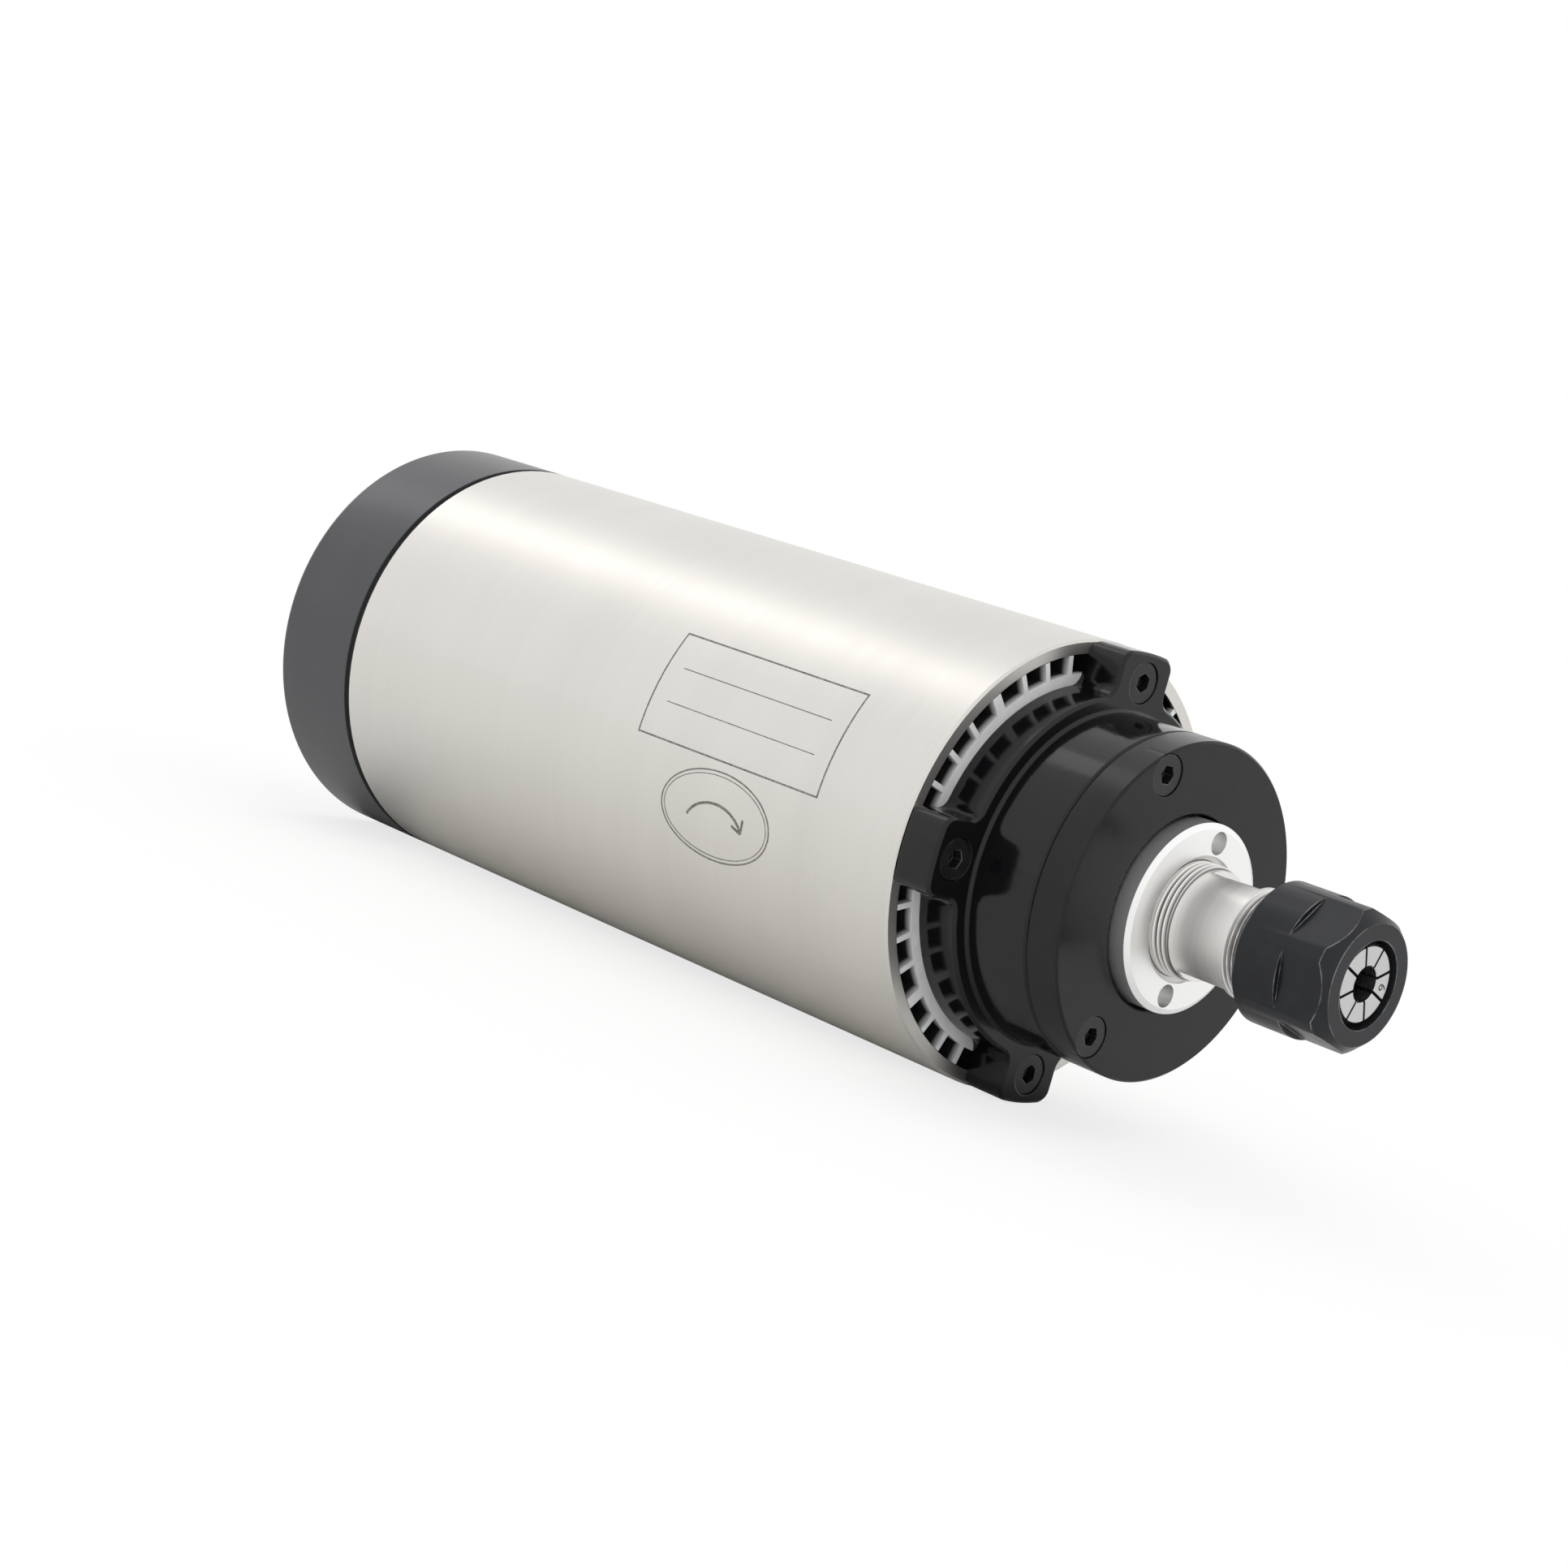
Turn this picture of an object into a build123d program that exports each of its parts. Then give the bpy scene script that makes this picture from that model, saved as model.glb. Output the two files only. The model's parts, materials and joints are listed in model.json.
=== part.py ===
"""Air-cooled motor spindle with a collet nose, as an assembly of separate pieces.

Frame: X runs along the spindle axis towards the nose, Z is up, and the origin lies on
the axis half way along the clamping sleeve. All lengths are in millimetres.
"""
from build123d import *
import math
import os

os.makedirs("parts", exist_ok=True)

# ---------------------------------------------------------------- driving dimensions
# Clamping sleeve
sleeve_diameter = 80.0
sleeve_wall = 2.4
sleeve_length = 149.0
sleeve_edge_chamfer = 0.4

# Finned aluminium core inside the sleeve, with air slots between its webs
air_channel_height = 3.4
core_ring_wall = 2.2
core_rear_recess = 8.0
web_thickness = 1.0
main_web_thickness = 2.0
web_pitch_angle = 9.0
main_web_gap_angle = 10.5
webs_beside_main = 3
boss_width = 9.4
tapped_hole_depth = 12.0

# Number of lugs, bosses and of the screws that go with them
lug_count = 4

# Front bearing housing
base_disc_overlap = 0.3
lug_height = 8.0
lug_width = 13.6
lug_setback = 0.1
lug_root_fillet = 2.5
lug_corner_fillet = 2.5
lug_rear_chamfer = 0.6
lug_screw_edge_distance = 5.3
nose_step = 2.9
nose_cylinder_length = 13.0
nose_foot_chamfer = 0.5
spigot_length = 8.0
housing_edge_chamfer = 0.4
disc_edge_chamfer = 0.5

# Flange cap over the front bearings
flange_thickness = 6.8
flange_spigot = 1.0
flange_screw_outward_shift = 0.475
flange_screw_count = 3

# Socket-head cap screws: M4 at the nose and the cap, M3 at the rear housing
screw_shank_diameter = 4.0
screw_head_diameter = 7.0
small_shank_diameter = 3.0
small_head_diameter = 5.5
screw_socket_share = 0.75
screw_socket_depth = 2.0
lug_screw_length = 14.0
flange_screw_length = 12.0
rear_screw_length = 12.0
cap_screw_length = 26.0
screw_head_sink = 0.2
drill_point_room = 1.0

# Front bearing pair, 20 x 42 x 12
front_bearing_bore = 20.0
front_bearing_outer = 42.0
front_bearing_width = 12.0
# Rear bearing pair, 15 x 32 x 9
rear_bearing_bore = 15.0
rear_bearing_outer = 32.0
rear_bearing_width = 9.0
bearings_per_end = 2
race_thickness = 3.0
shield_thickness = 0.8
shield_gap = 0.3
ring_edge_gap = 0.05

# Rear bearing housing
rear_plate_thickness = 6.0
rear_spigot_length = 6.0
rear_hub_diameter = 40.0
rear_bearing_inset = 0.5
rear_shoulder_thickness = 3.0
rear_shoulder_bore = 26.0
rear_hub_chamfer = 1.0
rear_edge_gap = 0.1
wave_spring_height = 1.5
wave_spring_wall = 1.8
wave_spring_thickness = 0.5
wave_count = 4
wave_pad_width = 1.2
wave_pad_length = 3.6

# Rear cap with its vents, standing on four posts
cap_length = 21.8
cap_wall = 2.5
cap_rear_wall = 3.0
cap_edge_fillet = 1.4
cap_rim_taper = 2.6
cap_rim_length = 2.6
cap_screw_edge_distance = 9.0
cap_post_diameter = 10.0
cap_screw_count = 4
cap_screw_angle = 45.0
vent_count = 12
vent_length = 11.0
vent_width = 3.6
vent_screw_spacing = 9.0
seal_width = 1.2
seal_inset = 0.6
seal_wall = 1.7

# Motor
stack_front_setback = 32.0
stack_rear_setback = 41.0
rotor_diameter = 33.0
air_gap = 0.5
rotor_shaft_diameter = 22.0
slot_count = 24
slot_depth = 8.0
slot_width = 2.6
slot_mouth_depth = 1.0
winding_clearance = 0.15
end_turn_length = 14.0
end_turn_wall = 9.0
end_turn_overlap = 3.0
end_turn_chamfer = 2.2
end_ring_length = 6.0
end_ring_shaft_clearance = 1.0
end_ring_vanes = 8
end_ring_vane_length = 4.0
end_ring_vane_thickness = 1.6
end_ring_vane_width = 3.2
end_ring_step = 0.5

# Shaft nose
lock_thread_diameter = 20.0
lock_thread_end = 34.1
neck_diameter = 18.9
neck_end = 45.2
wrench_width = 17.0
wrench_flat_start = 35.0
wrench_flat_end = 44.4
head_thread_diameter = 19.0
shaft_front = 58.6
head_chamfer = 0.6
shaft_spin_angle = 5.0
tool_stop_bore = 8.0
tool_stop_depth = 18.0
tool_stop_cone = 2.0
seat_relief = 1.0
front_shoulder_diameter = 24.0
shoulder_taper_start = 6.0
shoulder_taper_end = 8.0
rear_seat_shoulder_diameter = 18.0

# Round lock nut on the shaft in front of the bearings
lock_ring_diameter = 32.9
lock_ring_front = 31.2
lock_ring_chamfer = 1.0
lock_ring_chamfer_length = 0.6
lock_ring_bore_chamfer = 0.9
lock_ring_boss_height = 0.3
spanner_hole_diameter = 4.0
spanner_hole_depth = 4.0
spanner_hole_radius = 13.3
spanner_hole_count = 2

# Rear lock nut on the shaft
rear_nut_diameter = 22.0
rear_nut_width = 4.0
rear_nut_slot_width = 3.0
rear_nut_slot_depth = 1.5
rear_nut_slot_count = 4

# Cooling fan on the rear end of the shaft
fan_seat_diameter = 10.0
fan_hub_diameter = 17.0
fan_hub_length = 8.0
fan_post_gap = 1.5
fan_disc_thickness = 1.5
fan_blade_height = 5.5
fan_blade_thickness = 1.2
fan_blade_count = 9
fan_blade_lean = 25.0
fan_gap = 0.5
fan_screw_diameter = 5.0
fan_screw_length = 12.0
fan_screw_head_diameter = 9.0
fan_screw_head_height = 2.8
fan_screw_socket_width = 3.0
fan_screw_socket_depth = 1.7
fan_screw_head_chamfer = 0.7
fan_screw_end_gap = 1.0

# Spring collet, 17 mm size, for a 6 mm tool shank
tool_diameter = 6.0
collet_length = 27.5
collet_diameter = 17.0
collet_face_diameter = 12.8
collet_collar_width = 1.4
collet_groove_width = 2.0
collet_groove_diameter = 15.2
collet_taper_angle = 8.0
collet_cone_angle = 30.0
collet_slot_width = 0.7
collet_slot_count = 8
collet_rear_land = 5.0
collet_front = 66.3
collet_slot_angle = 24.0

# Collet nut with a hexagon at its front end
nut_diameter = 24.1
nut_front = 66.9
nut_length = 18.0
nut_hex_width = 22.0
nut_hex_length = 9.3
nut_front_chamfer_length = 2.2
nut_front_chamfer_height = 1.85
nut_rear_chamfer = 0.5
nut_mouth_diameter = 14.8
nut_lip_width = 1.2
nut_lip_bore = 15.9
nut_hex_angle = 44.0
nut_relief_diameter = 20.4

# Panel socket and cable plug, 16 mm size with four contacts
socket_thread_diameter = 15.8
socket_flange_diameter = 18.8
socket_flange_thickness = 2.0
socket_barrel_length = 8.0
socket_wall = 1.6
socket_inner_length = 6.5
socket_nut_width = 19.0
socket_nut_thickness = 2.5
socket_key_width = 1.6
socket_key_height = 0.6
socket_key_setback = 1.0
pin_diameter = 1.5
pin_circle_radius = 3.0
pin_count = 4
pin_angle = 45.0
pin_recess = 1.0
insert_setback = 5.5
pin_tail = 1.7
plug_ring_diameter = 18.8
plug_ring_length = 13.6
plug_ring_lip = 3.0
plug_ring_gap = 0.4
plug_collar_diameter = 15.2
plug_collar_width = 2.2
plug_nose_diameter = 12.2
plug_nose_length = 5.0
plug_nose_wall = 0.9
plug_seat_gap = 0.5
plug_barrel_diameter = 14.0
plug_barrel_length = 18.5
plug_barrel_wall = 1.2
plug_edge_chamfer = 1.0
plug_end_wall = 1.5
plug_ring_front_chamfer = 0.4
plug_ring_rear_chamfer = 1.2
plug_insert_setback = 0.3
plug_contact_setback = 0.6
plug_contact_solid_end = 3.0
plug_insert_length = 13.0
plug_contact_diameter = 2.6
plug_contact_length = 11.0
clamp_length = 7.0
clamp_screw_diameter = 2.0
clamp_screw_head_diameter = 3.6
clamp_screw_head_height = 1.4
clamp_bar_thickness = 2.4
cable_bore = 7.0
clamp_screw_spacing = 10.6
clamp_gap = 0.6
clamp_end_gap = 0.3
clamp_hole_depth = 4.0
clamp_screw_grip = 3.0
clamp_screw_slot_width = 0.6
clamp_screw_slot_depth = 0.7

# ---------------------------------------------------------------- named clearances
core_fit = 0.10
bearing_fit = 0.05
shaft_fit = 0.03
screw_clearance = 0.20
tapped_clearance = 0.10
head_clearance = 0.15
lock_ring_clearance = 0.50
collet_clearance = 0.10
thread_clearance = 0.10
connector_clearance = 0.15
post_clearance = 0.05

# ---------------------------------------------------------------- derived stations
front = sleeve_length / 2
rear = -sleeve_length / 2
sleeve_outer = sleeve_diameter / 2
sleeve_inner = sleeve_outer - sleeve_wall
core_ring_outer = sleeve_inner - air_channel_height
core_bore = core_ring_outer - core_ring_wall
core_outer = sleeve_inner - core_fit
core_rear = rear + core_rear_recess
spigot_radius = core_bore - core_fit
base_disc_radius = core_bore + base_disc_overlap
nose_radius = base_disc_radius - nose_step
lug_screw_circle_radius = sleeve_outer - lug_screw_edge_distance
cap_screw_circle_radius = sleeve_outer - cap_screw_edge_distance
vent_circle_radius = cap_screw_circle_radius - vent_screw_spacing
front_bearing_seat = front_bearing_outer / 2 + bearing_fit
flange_screw_circle_radius = (front_bearing_seat + nose_radius) / 2 + flange_screw_outward_shift
tapped_radius = screw_shank_diameter / 2 + tapped_clearance
hole_radius = screw_shank_diameter / 2 + screw_clearance
head_hole_radius = screw_head_diameter / 2 + head_clearance
head_hole_depth = screw_shank_diameter + screw_head_sink
small_tapped_radius = small_shank_diameter / 2 + tapped_clearance
small_hole_radius = small_shank_diameter / 2 + screw_clearance
small_head_hole_radius = small_head_diameter / 2 + head_clearance
small_head_hole_depth = small_shank_diameter + screw_head_sink

lug_front = front + lug_height
nose_front = lug_front + nose_cylinder_length
flange_front = nose_front + flange_thickness
front_bearing_rear = nose_front - flange_spigot - bearings_per_end * front_bearing_width
front_bearing_front = nose_front - flange_spigot
rear_plate_rear = core_rear - rear_plate_thickness
rear_bearing_rear = rear_plate_rear + rear_bearing_inset
rear_bearing_front = rear_bearing_rear + bearings_per_end * rear_bearing_width
rear_shoulder_rear = rear_bearing_front + wave_spring_height
rear_hub_front = rear_shoulder_rear + rear_shoulder_thickness

cap_front = rear - seal_width
cap_rear = cap_front - cap_length
cap_floor = cap_rear + cap_rear_wall

stack_front = front - stack_front_setback
stack_rear = rear + stack_rear_setback
stack_length = stack_front - stack_rear
stator_bore = rotor_diameter / 2 + air_gap

rear_nut_rear = rear_bearing_rear - rear_nut_width
fan_front = rear_nut_rear - fan_gap
fan_rear = fan_front - fan_hub_length
shaft_rear = fan_rear

collet_face_x = front + collet_front
collet_rear_x = collet_face_x - collet_length
cone_length = (collet_diameter - collet_face_diameter) / 2 / math.tan(math.radians(collet_cone_angle))
collar_front_x = collet_face_x - cone_length
collar_rear_x = collar_front_x - collet_collar_width
taper_front_x = collar_rear_x - collet_groove_width
taper_slope = math.tan(math.radians(collet_taper_angle))
cone_slope = math.tan(math.radians(collet_cone_angle))
nut_face_x = front + nut_front
nut_rear_x = nut_face_x - nut_length
shaft_face_x = front + shaft_front


def collet_taper_radius(x):
    """Radius of the collet's long taper at station x."""
    return collet_diameter / 2 - (taper_front_x - x) * taper_slope


# ---------------------------------------------------------------- drawing helpers
def outline(*points):
    """Closed outline of (x, radius) points, ready to be turned about the X axis."""
    with BuildSketch(Plane.XY) as flat:
        with BuildLine():
            Polyline(*points, close=True)
        make_face()
    return flat.sketch


def band(x_start, x_end, inner_radius, outer_radius):
    """Rectangular outline of a plain tube between two stations."""
    return outline(
        (x_start, inner_radius),
        (x_end, inner_radius),
        (x_end, outer_radius),
        (x_start, outer_radius),
    )


def station(x):
    """Plane square to the axis at station x, facing the nose."""
    return Plane.YZ.offset(x)


def facing_rear(x):
    """Plane square to the axis at station x, facing the rear."""
    return Plane(origin=(x, 0, 0), x_dir=(0, -1, 0), z_dir=(-1, 0, 0))


def save(part, name):
    """Label a finished piece and write it to its own file."""
    part.label = name
    export_step(part, f"parts/{name}.step")


def cap_screws(face_plane, circle_radius, count, start_angle, shank_diameter, head_diameter, length):
    """Socket-head cap screws whose head tops lie just under the given plane."""
    head_height = shank_diameter
    with BuildPart() as screws:
        with BuildSketch(face_plane.offset(-screw_head_sink - head_height)):
            with PolarLocations(circle_radius, count, start_angle):
                Circle(head_diameter / 2)
        extrude(amount=head_height)
        with BuildSketch(face_plane.offset(-screw_head_sink - head_height)):
            with PolarLocations(circle_radius, count, start_angle):
                Circle(shank_diameter / 2)
        extrude(amount=-length)
        with BuildSketch(face_plane.offset(-screw_head_sink)):
            with PolarLocations(circle_radius, count, start_angle):
                RegularPolygon(screw_socket_share * shank_diameter / 2, 6, major_radius=False)
        extrude(amount=-screw_socket_depth, mode=Mode.SUBTRACT)
    return screws.part


# ---------------------------------------------------------------- outer sleeve
with BuildPart() as outer_sleeve:
    revolve(
        outline(
            (rear, sleeve_inner),
            (front, sleeve_inner),
            (front, sleeve_outer - sleeve_edge_chamfer),
            (front - sleeve_edge_chamfer, sleeve_outer),
            (rear + sleeve_edge_chamfer, sleeve_outer),
            (rear, sleeve_outer - sleeve_edge_chamfer),
        ),
        axis=Axis.X,
    )
save(outer_sleeve.part, "outer_sleeve")

# ---------------------------------------------------------------- finned core
web_angles = [main_web_gap_angle + i * web_pitch_angle for i in range(webs_beside_main)]
quadrant = 360 / lug_count
web_middle = (core_ring_outer + core_outer) / 2
web_reach = core_outer - core_ring_outer + core_ring_wall
with BuildPart() as finned_core:
    with BuildSketch(station(core_rear)):
        Circle(core_ring_outer)
        for side in (-1, 1):
            for web_angle in web_angles:
                with PolarLocations(web_middle, lug_count, quadrant / 2 + side * web_angle):
                    Rectangle(web_reach, web_thickness)
        with PolarLocations(web_middle, lug_count, quadrant / 2):
            Rectangle(web_reach, main_web_thickness)
        with PolarLocations(web_middle, lug_count):
            Rectangle(web_reach, boss_width)
        Circle(core_outer, mode=Mode.INTERSECT)
        Circle(core_bore, mode=Mode.SUBTRACT)
    extrude(amount=front - core_rear)
    with BuildSketch(station(front)):
        with PolarLocations(lug_screw_circle_radius, lug_count):
            Circle(tapped_radius)
    extrude(amount=-tapped_hole_depth, mode=Mode.SUBTRACT)
    with BuildSketch(station(core_rear)):
        with PolarLocations(lug_screw_circle_radius, lug_count):
            Circle(small_tapped_radius)
    extrude(amount=tapped_hole_depth, mode=Mode.SUBTRACT)
save(finned_core.part, "finned_core")

# ---------------------------------------------------------------- stator laminations
slot_bottom = stator_bore + slot_mouth_depth + slot_depth
with BuildPart() as stator_core:
    with BuildSketch(station(stack_rear)):
        Circle(spigot_radius)
        Circle(stator_bore, mode=Mode.SUBTRACT)
        with PolarLocations(stator_bore + slot_mouth_depth + slot_depth / 2, slot_count):
            Rectangle(slot_depth, slot_width, mode=Mode.SUBTRACT)
    extrude(amount=stack_length)
save(stator_core.part, "stator_core")

# ---------------------------------------------------------------- stator windings
end_turn_outer = slot_bottom + end_turn_overlap
end_turn_inner = end_turn_outer - end_turn_wall
bar_depth = slot_depth - 2 * winding_clearance
bar_width = slot_width - 2 * winding_clearance
with BuildPart() as stator_windings:
    for ring_start in (stack_rear - end_turn_length, stack_front + winding_clearance):
        revolve(
            band(
                ring_start,
                ring_start + end_turn_length - winding_clearance,
                end_turn_inner,
                end_turn_outer,
            ),
            axis=Axis.X,
        )
    chamfer(stator_windings.edges().filter_by(GeomType.CIRCLE), end_turn_chamfer)
    with BuildSketch(station(stack_rear - end_turn_length / 2)):
        with PolarLocations(stator_bore + slot_mouth_depth + slot_depth / 2, slot_count):
            Rectangle(bar_depth, bar_width)
    extrude(amount=stack_length + end_turn_length)
save(stator_windings.part, "stator_windings")

# ---------------------------------------------------------------- front bearing housing
front_retainer_bore = front_bearing_outer / 2 - race_thickness
lug_outer = sleeve_outer - lug_setback
flange_hole_depth = flange_screw_length - flange_thickness + head_hole_depth + drill_point_room
with BuildPart() as front_bearing_housing:
    with BuildSketch(station(front)) as lug_outline:
        with PolarLocations(lug_outer / 2, lug_count):
            Rectangle(lug_outer, lug_width)
        Circle(lug_outer, mode=Mode.INTERSECT)
        Circle(base_disc_radius)
        fillet(lug_outline.vertices().group_by(SortBy.DISTANCE)[-1], lug_corner_fillet)
        fillet(lug_outline.vertices().group_by(SortBy.DISTANCE)[0], lug_root_fillet)
    extrude(amount=lug_height)
    chamfer(
        front_bearing_housing.faces().sort_by(Axis.X)[-1].edges(),
        disc_edge_chamfer,
    )
    revolve(
        outline(
            (front - spigot_length, 0),
            (nose_front, 0),
            (nose_front, nose_radius - housing_edge_chamfer),
            (nose_front - housing_edge_chamfer, nose_radius),
            (lug_front + nose_foot_chamfer, nose_radius),
            (lug_front, nose_radius + nose_foot_chamfer),
            (front, nose_radius + nose_foot_chamfer),
            (front, spigot_radius),
            (front - spigot_length, spigot_radius),
        ),
        axis=Axis.X,
    )
    revolve(
        outline(
            (front - spigot_length, 0),
            (front - spigot_length, front_retainer_bore),
            (front_bearing_rear, front_retainer_bore),
            (front_bearing_rear, front_bearing_seat),
            (nose_front, front_bearing_seat),
            (nose_front, 0),
        ),
        axis=Axis.X,
        mode=Mode.SUBTRACT,
    )
    revolve(
        outline(
            (front, lug_outer - lug_rear_chamfer),
            (front + lug_rear_chamfer, lug_outer),
            (front + lug_rear_chamfer, sleeve_outer),
            (front, sleeve_outer),
        ),
        axis=Axis.X,
        mode=Mode.SUBTRACT,
    )
    with Locations(station(lug_front)):
        with PolarLocations(lug_screw_circle_radius, lug_count):
            CounterBoreHole(hole_radius, head_hole_radius, head_hole_depth)
    with BuildSketch(station(nose_front)):
        with PolarLocations(flange_screw_circle_radius, flange_screw_count):
            Circle(tapped_radius)
    extrude(amount=-flange_hole_depth, mode=Mode.SUBTRACT)
save(front_bearing_housing.part, "front_bearing_housing")
save(
    cap_screws(
        station(lug_front),
        lug_screw_circle_radius,
        lug_count,
        0,
        screw_shank_diameter,
        screw_head_diameter,
        lug_screw_length,
    ),
    "lug_screws",
)

# ---------------------------------------------------------------- front flange cap
lock_ring_radius = lock_ring_diameter / 2
flange_bore = lock_ring_radius + lock_ring_clearance
with BuildPart() as front_flange_cap:
    revolve(
        outline(
            (nose_front - flange_spigot, front_retainer_bore),
            (nose_front - flange_spigot, front_bearing_seat - bearing_fit),
            (nose_front, front_bearing_seat - bearing_fit),
            (nose_front, nose_radius - housing_edge_chamfer),
            (nose_front + housing_edge_chamfer, nose_radius),
            (flange_front - housing_edge_chamfer, nose_radius),
            (flange_front, nose_radius - housing_edge_chamfer),
            (flange_front, flange_bore + housing_edge_chamfer),
            (flange_front - housing_edge_chamfer, flange_bore),
            (nose_front, flange_bore),
        ),
        axis=Axis.X,
    )
    with Locations(station(flange_front)):
        with PolarLocations(flange_screw_circle_radius, flange_screw_count):
            CounterBoreHole(hole_radius, head_hole_radius, head_hole_depth)
save(front_flange_cap.part, "front_flange_cap")
save(
    cap_screws(
        station(flange_front),
        flange_screw_circle_radius,
        flange_screw_count,
        0,
        screw_shank_diameter,
        screw_head_diameter,
        flange_screw_length,
    ),
    "flange_screws",
)


# ---------------------------------------------------------------- bearings
def shielded_rings(first_x, width, outer_diameter, bore_diameter):
    """Outer bearing rings with the two shields that close each of them."""
    outer_radius = outer_diameter / 2
    shield_inner = bore_diameter / 2 + race_thickness + shield_gap
    race_inner = outer_radius - race_thickness
    with BuildPart() as rings:
        for i in range(bearings_per_end):
            start = first_x + i * width + ring_edge_gap
            end = start + width - 2 * ring_edge_gap
            revolve(
                outline(
                    (start, shield_inner),
                    (start + shield_thickness, shield_inner),
                    (start + shield_thickness, race_inner),
                    (end - shield_thickness, race_inner),
                    (end - shield_thickness, shield_inner),
                    (end, shield_inner),
                    (end, outer_radius),
                    (start, outer_radius),
                ),
                axis=Axis.X,
            )
    return rings.part


def inner_rings(first_x, width, bore_diameter):
    """Inner bearing rings, clear of the shaft by the shaft fit."""
    with BuildPart() as rings:
        for i in range(bearings_per_end):
            start = first_x + i * width + ring_edge_gap
            revolve(
                band(
                    start,
                    start + width - 2 * ring_edge_gap,
                    bore_diameter / 2 + shaft_fit,
                    bore_diameter / 2 + race_thickness,
                ),
                axis=Axis.X,
            )
    return rings.part


save(
    shielded_rings(front_bearing_rear, front_bearing_width, front_bearing_outer, front_bearing_bore),
    "front_bearing_outer_rings",
)
save(
    shielded_rings(rear_bearing_rear, rear_bearing_width, rear_bearing_outer, rear_bearing_bore),
    "rear_bearing_outer_rings",
)
save(inner_rings(front_bearing_rear, front_bearing_width, front_bearing_bore), "front_bearing_inner_rings")
save(inner_rings(rear_bearing_rear, rear_bearing_width, rear_bearing_bore), "rear_bearing_inner_rings")

# ---------------------------------------------------------------- rear bearing housing
rear_bearing_seat = rear_bearing_outer / 2 + bearing_fit
rear_hub_radius = rear_hub_diameter / 2
rear_plate_radius = core_ring_outer - core_fit
with BuildPart() as rear_bearing_housing:
    with BuildSketch(station(rear_plate_rear)):
        with PolarLocations(core_outer / 2, lug_count):
            Rectangle(core_outer, boss_width)
        Circle(core_outer - rear_edge_gap, mode=Mode.INTERSECT)
        Circle(rear_plate_radius)
    extrude(amount=rear_plate_thickness)
    revolve(
        outline(
            (rear_plate_rear, 0),
            (rear_hub_front, 0),
            (rear_hub_front, rear_hub_radius - rear_hub_chamfer),
            (rear_hub_front - rear_hub_chamfer, rear_hub_radius),
            (core_rear + rear_spigot_length, rear_hub_radius),
            (core_rear + rear_spigot_length, spigot_radius),
            (rear_plate_rear, spigot_radius),
        ),
        axis=Axis.X,
    )
    revolve(
        outline(
            (rear_plate_rear, 0),
            (rear_plate_rear, rear_bearing_seat),
            (rear_shoulder_rear, rear_bearing_seat),
            (rear_shoulder_rear, rear_shoulder_bore / 2),
            (rear_hub_front, rear_shoulder_bore / 2),
            (rear_hub_front, 0),
        ),
        axis=Axis.X,
        mode=Mode.SUBTRACT,
    )
    with Locations(facing_rear(rear_plate_rear)):
        with PolarLocations(lug_screw_circle_radius, lug_count):
            CounterBoreHole(small_hole_radius, small_head_hole_radius, small_head_hole_depth)
        with PolarLocations(cap_screw_circle_radius, cap_screw_count, cap_screw_angle):
            Hole(tapped_radius)
save(rear_bearing_housing.part, "rear_bearing_housing")
save(
    cap_screws(
        facing_rear(rear_plate_rear),
        lug_screw_circle_radius,
        lug_count,
        0,
        small_shank_diameter,
        small_head_diameter,
        rear_screw_length,
    ),
    "rear_housing_screws",
)

# ---------------------------------------------------------------- preload wave spring
wave_outer = rear_bearing_outer / 2 - bearing_fit
wave_inner = wave_outer - wave_spring_wall
wave_top = rear_bearing_front + wave_spring_thickness
with BuildPart() as preload_wave_spring:
    revolve(band(rear_bearing_front, wave_top, wave_inner, wave_outer), axis=Axis.X)
    with BuildSketch(station(wave_top)):
        with PolarLocations((wave_inner + wave_outer) / 2, wave_count):
            Rectangle(wave_pad_width, wave_pad_length)
    extrude(amount=wave_spring_height - wave_spring_thickness)
save(preload_wave_spring.part, "preload_wave_spring")

# ---------------------------------------------------------------- rear cap
cap_inner = sleeve_outer - cap_wall
cap_rim_outer = sleeve_inner - core_fit
cap_rim_inner = cap_rim_outer - cap_wall
post_radius = cap_post_diameter / 2
socket_thread_radius = socket_thread_diameter / 2
socket_hole_radius = socket_thread_radius + core_fit
post_end = rear_plate_rear - post_clearance
with BuildPart() as rear_cap:
    revolve(
        outline(
            (cap_rear, 0),
            (cap_front, 0),
            (cap_front, sleeve_outer),
            (cap_rear, sleeve_outer),
        ),
        axis=Axis.X,
    )
    fillet(rear_cap.faces().sort_by(Axis.X)[0].edges(), cap_edge_fillet)
    revolve(
        outline(
            (cap_floor, 0),
            (cap_front, 0),
            (cap_front, cap_rim_inner),
            (cap_front - cap_rim_length, cap_rim_inner),
            (cap_front - cap_rim_length - cap_rim_taper, cap_inner),
            (cap_floor, cap_inner),
        ),
        axis=Axis.X,
        mode=Mode.SUBTRACT,
    )
    revolve(
        band(cap_front - cap_rim_length, cap_front + cap_rim_length, cap_rim_inner, cap_rim_outer),
        axis=Axis.X,
    )
    with BuildSketch(station(cap_floor)):
        with PolarLocations(cap_screw_circle_radius, cap_screw_count, cap_screw_angle):
            Circle(post_radius)
    extrude(amount=post_end - cap_floor)
    with BuildSketch(station(cap_rear)):
        with PolarLocations(vent_circle_radius, vent_count):
            SlotOverall(vent_length, vent_width)
    extrude(amount=cap_rear_wall, mode=Mode.SUBTRACT)
    with Locations(facing_rear(cap_rear)):
        Hole(socket_hole_radius, depth=cap_rear_wall)
        with PolarLocations(cap_screw_circle_radius, cap_screw_count, cap_screw_angle):
            CounterBoreHole(hole_radius, head_hole_radius, head_hole_depth)
save(rear_cap.part, "rear_cap")
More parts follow.
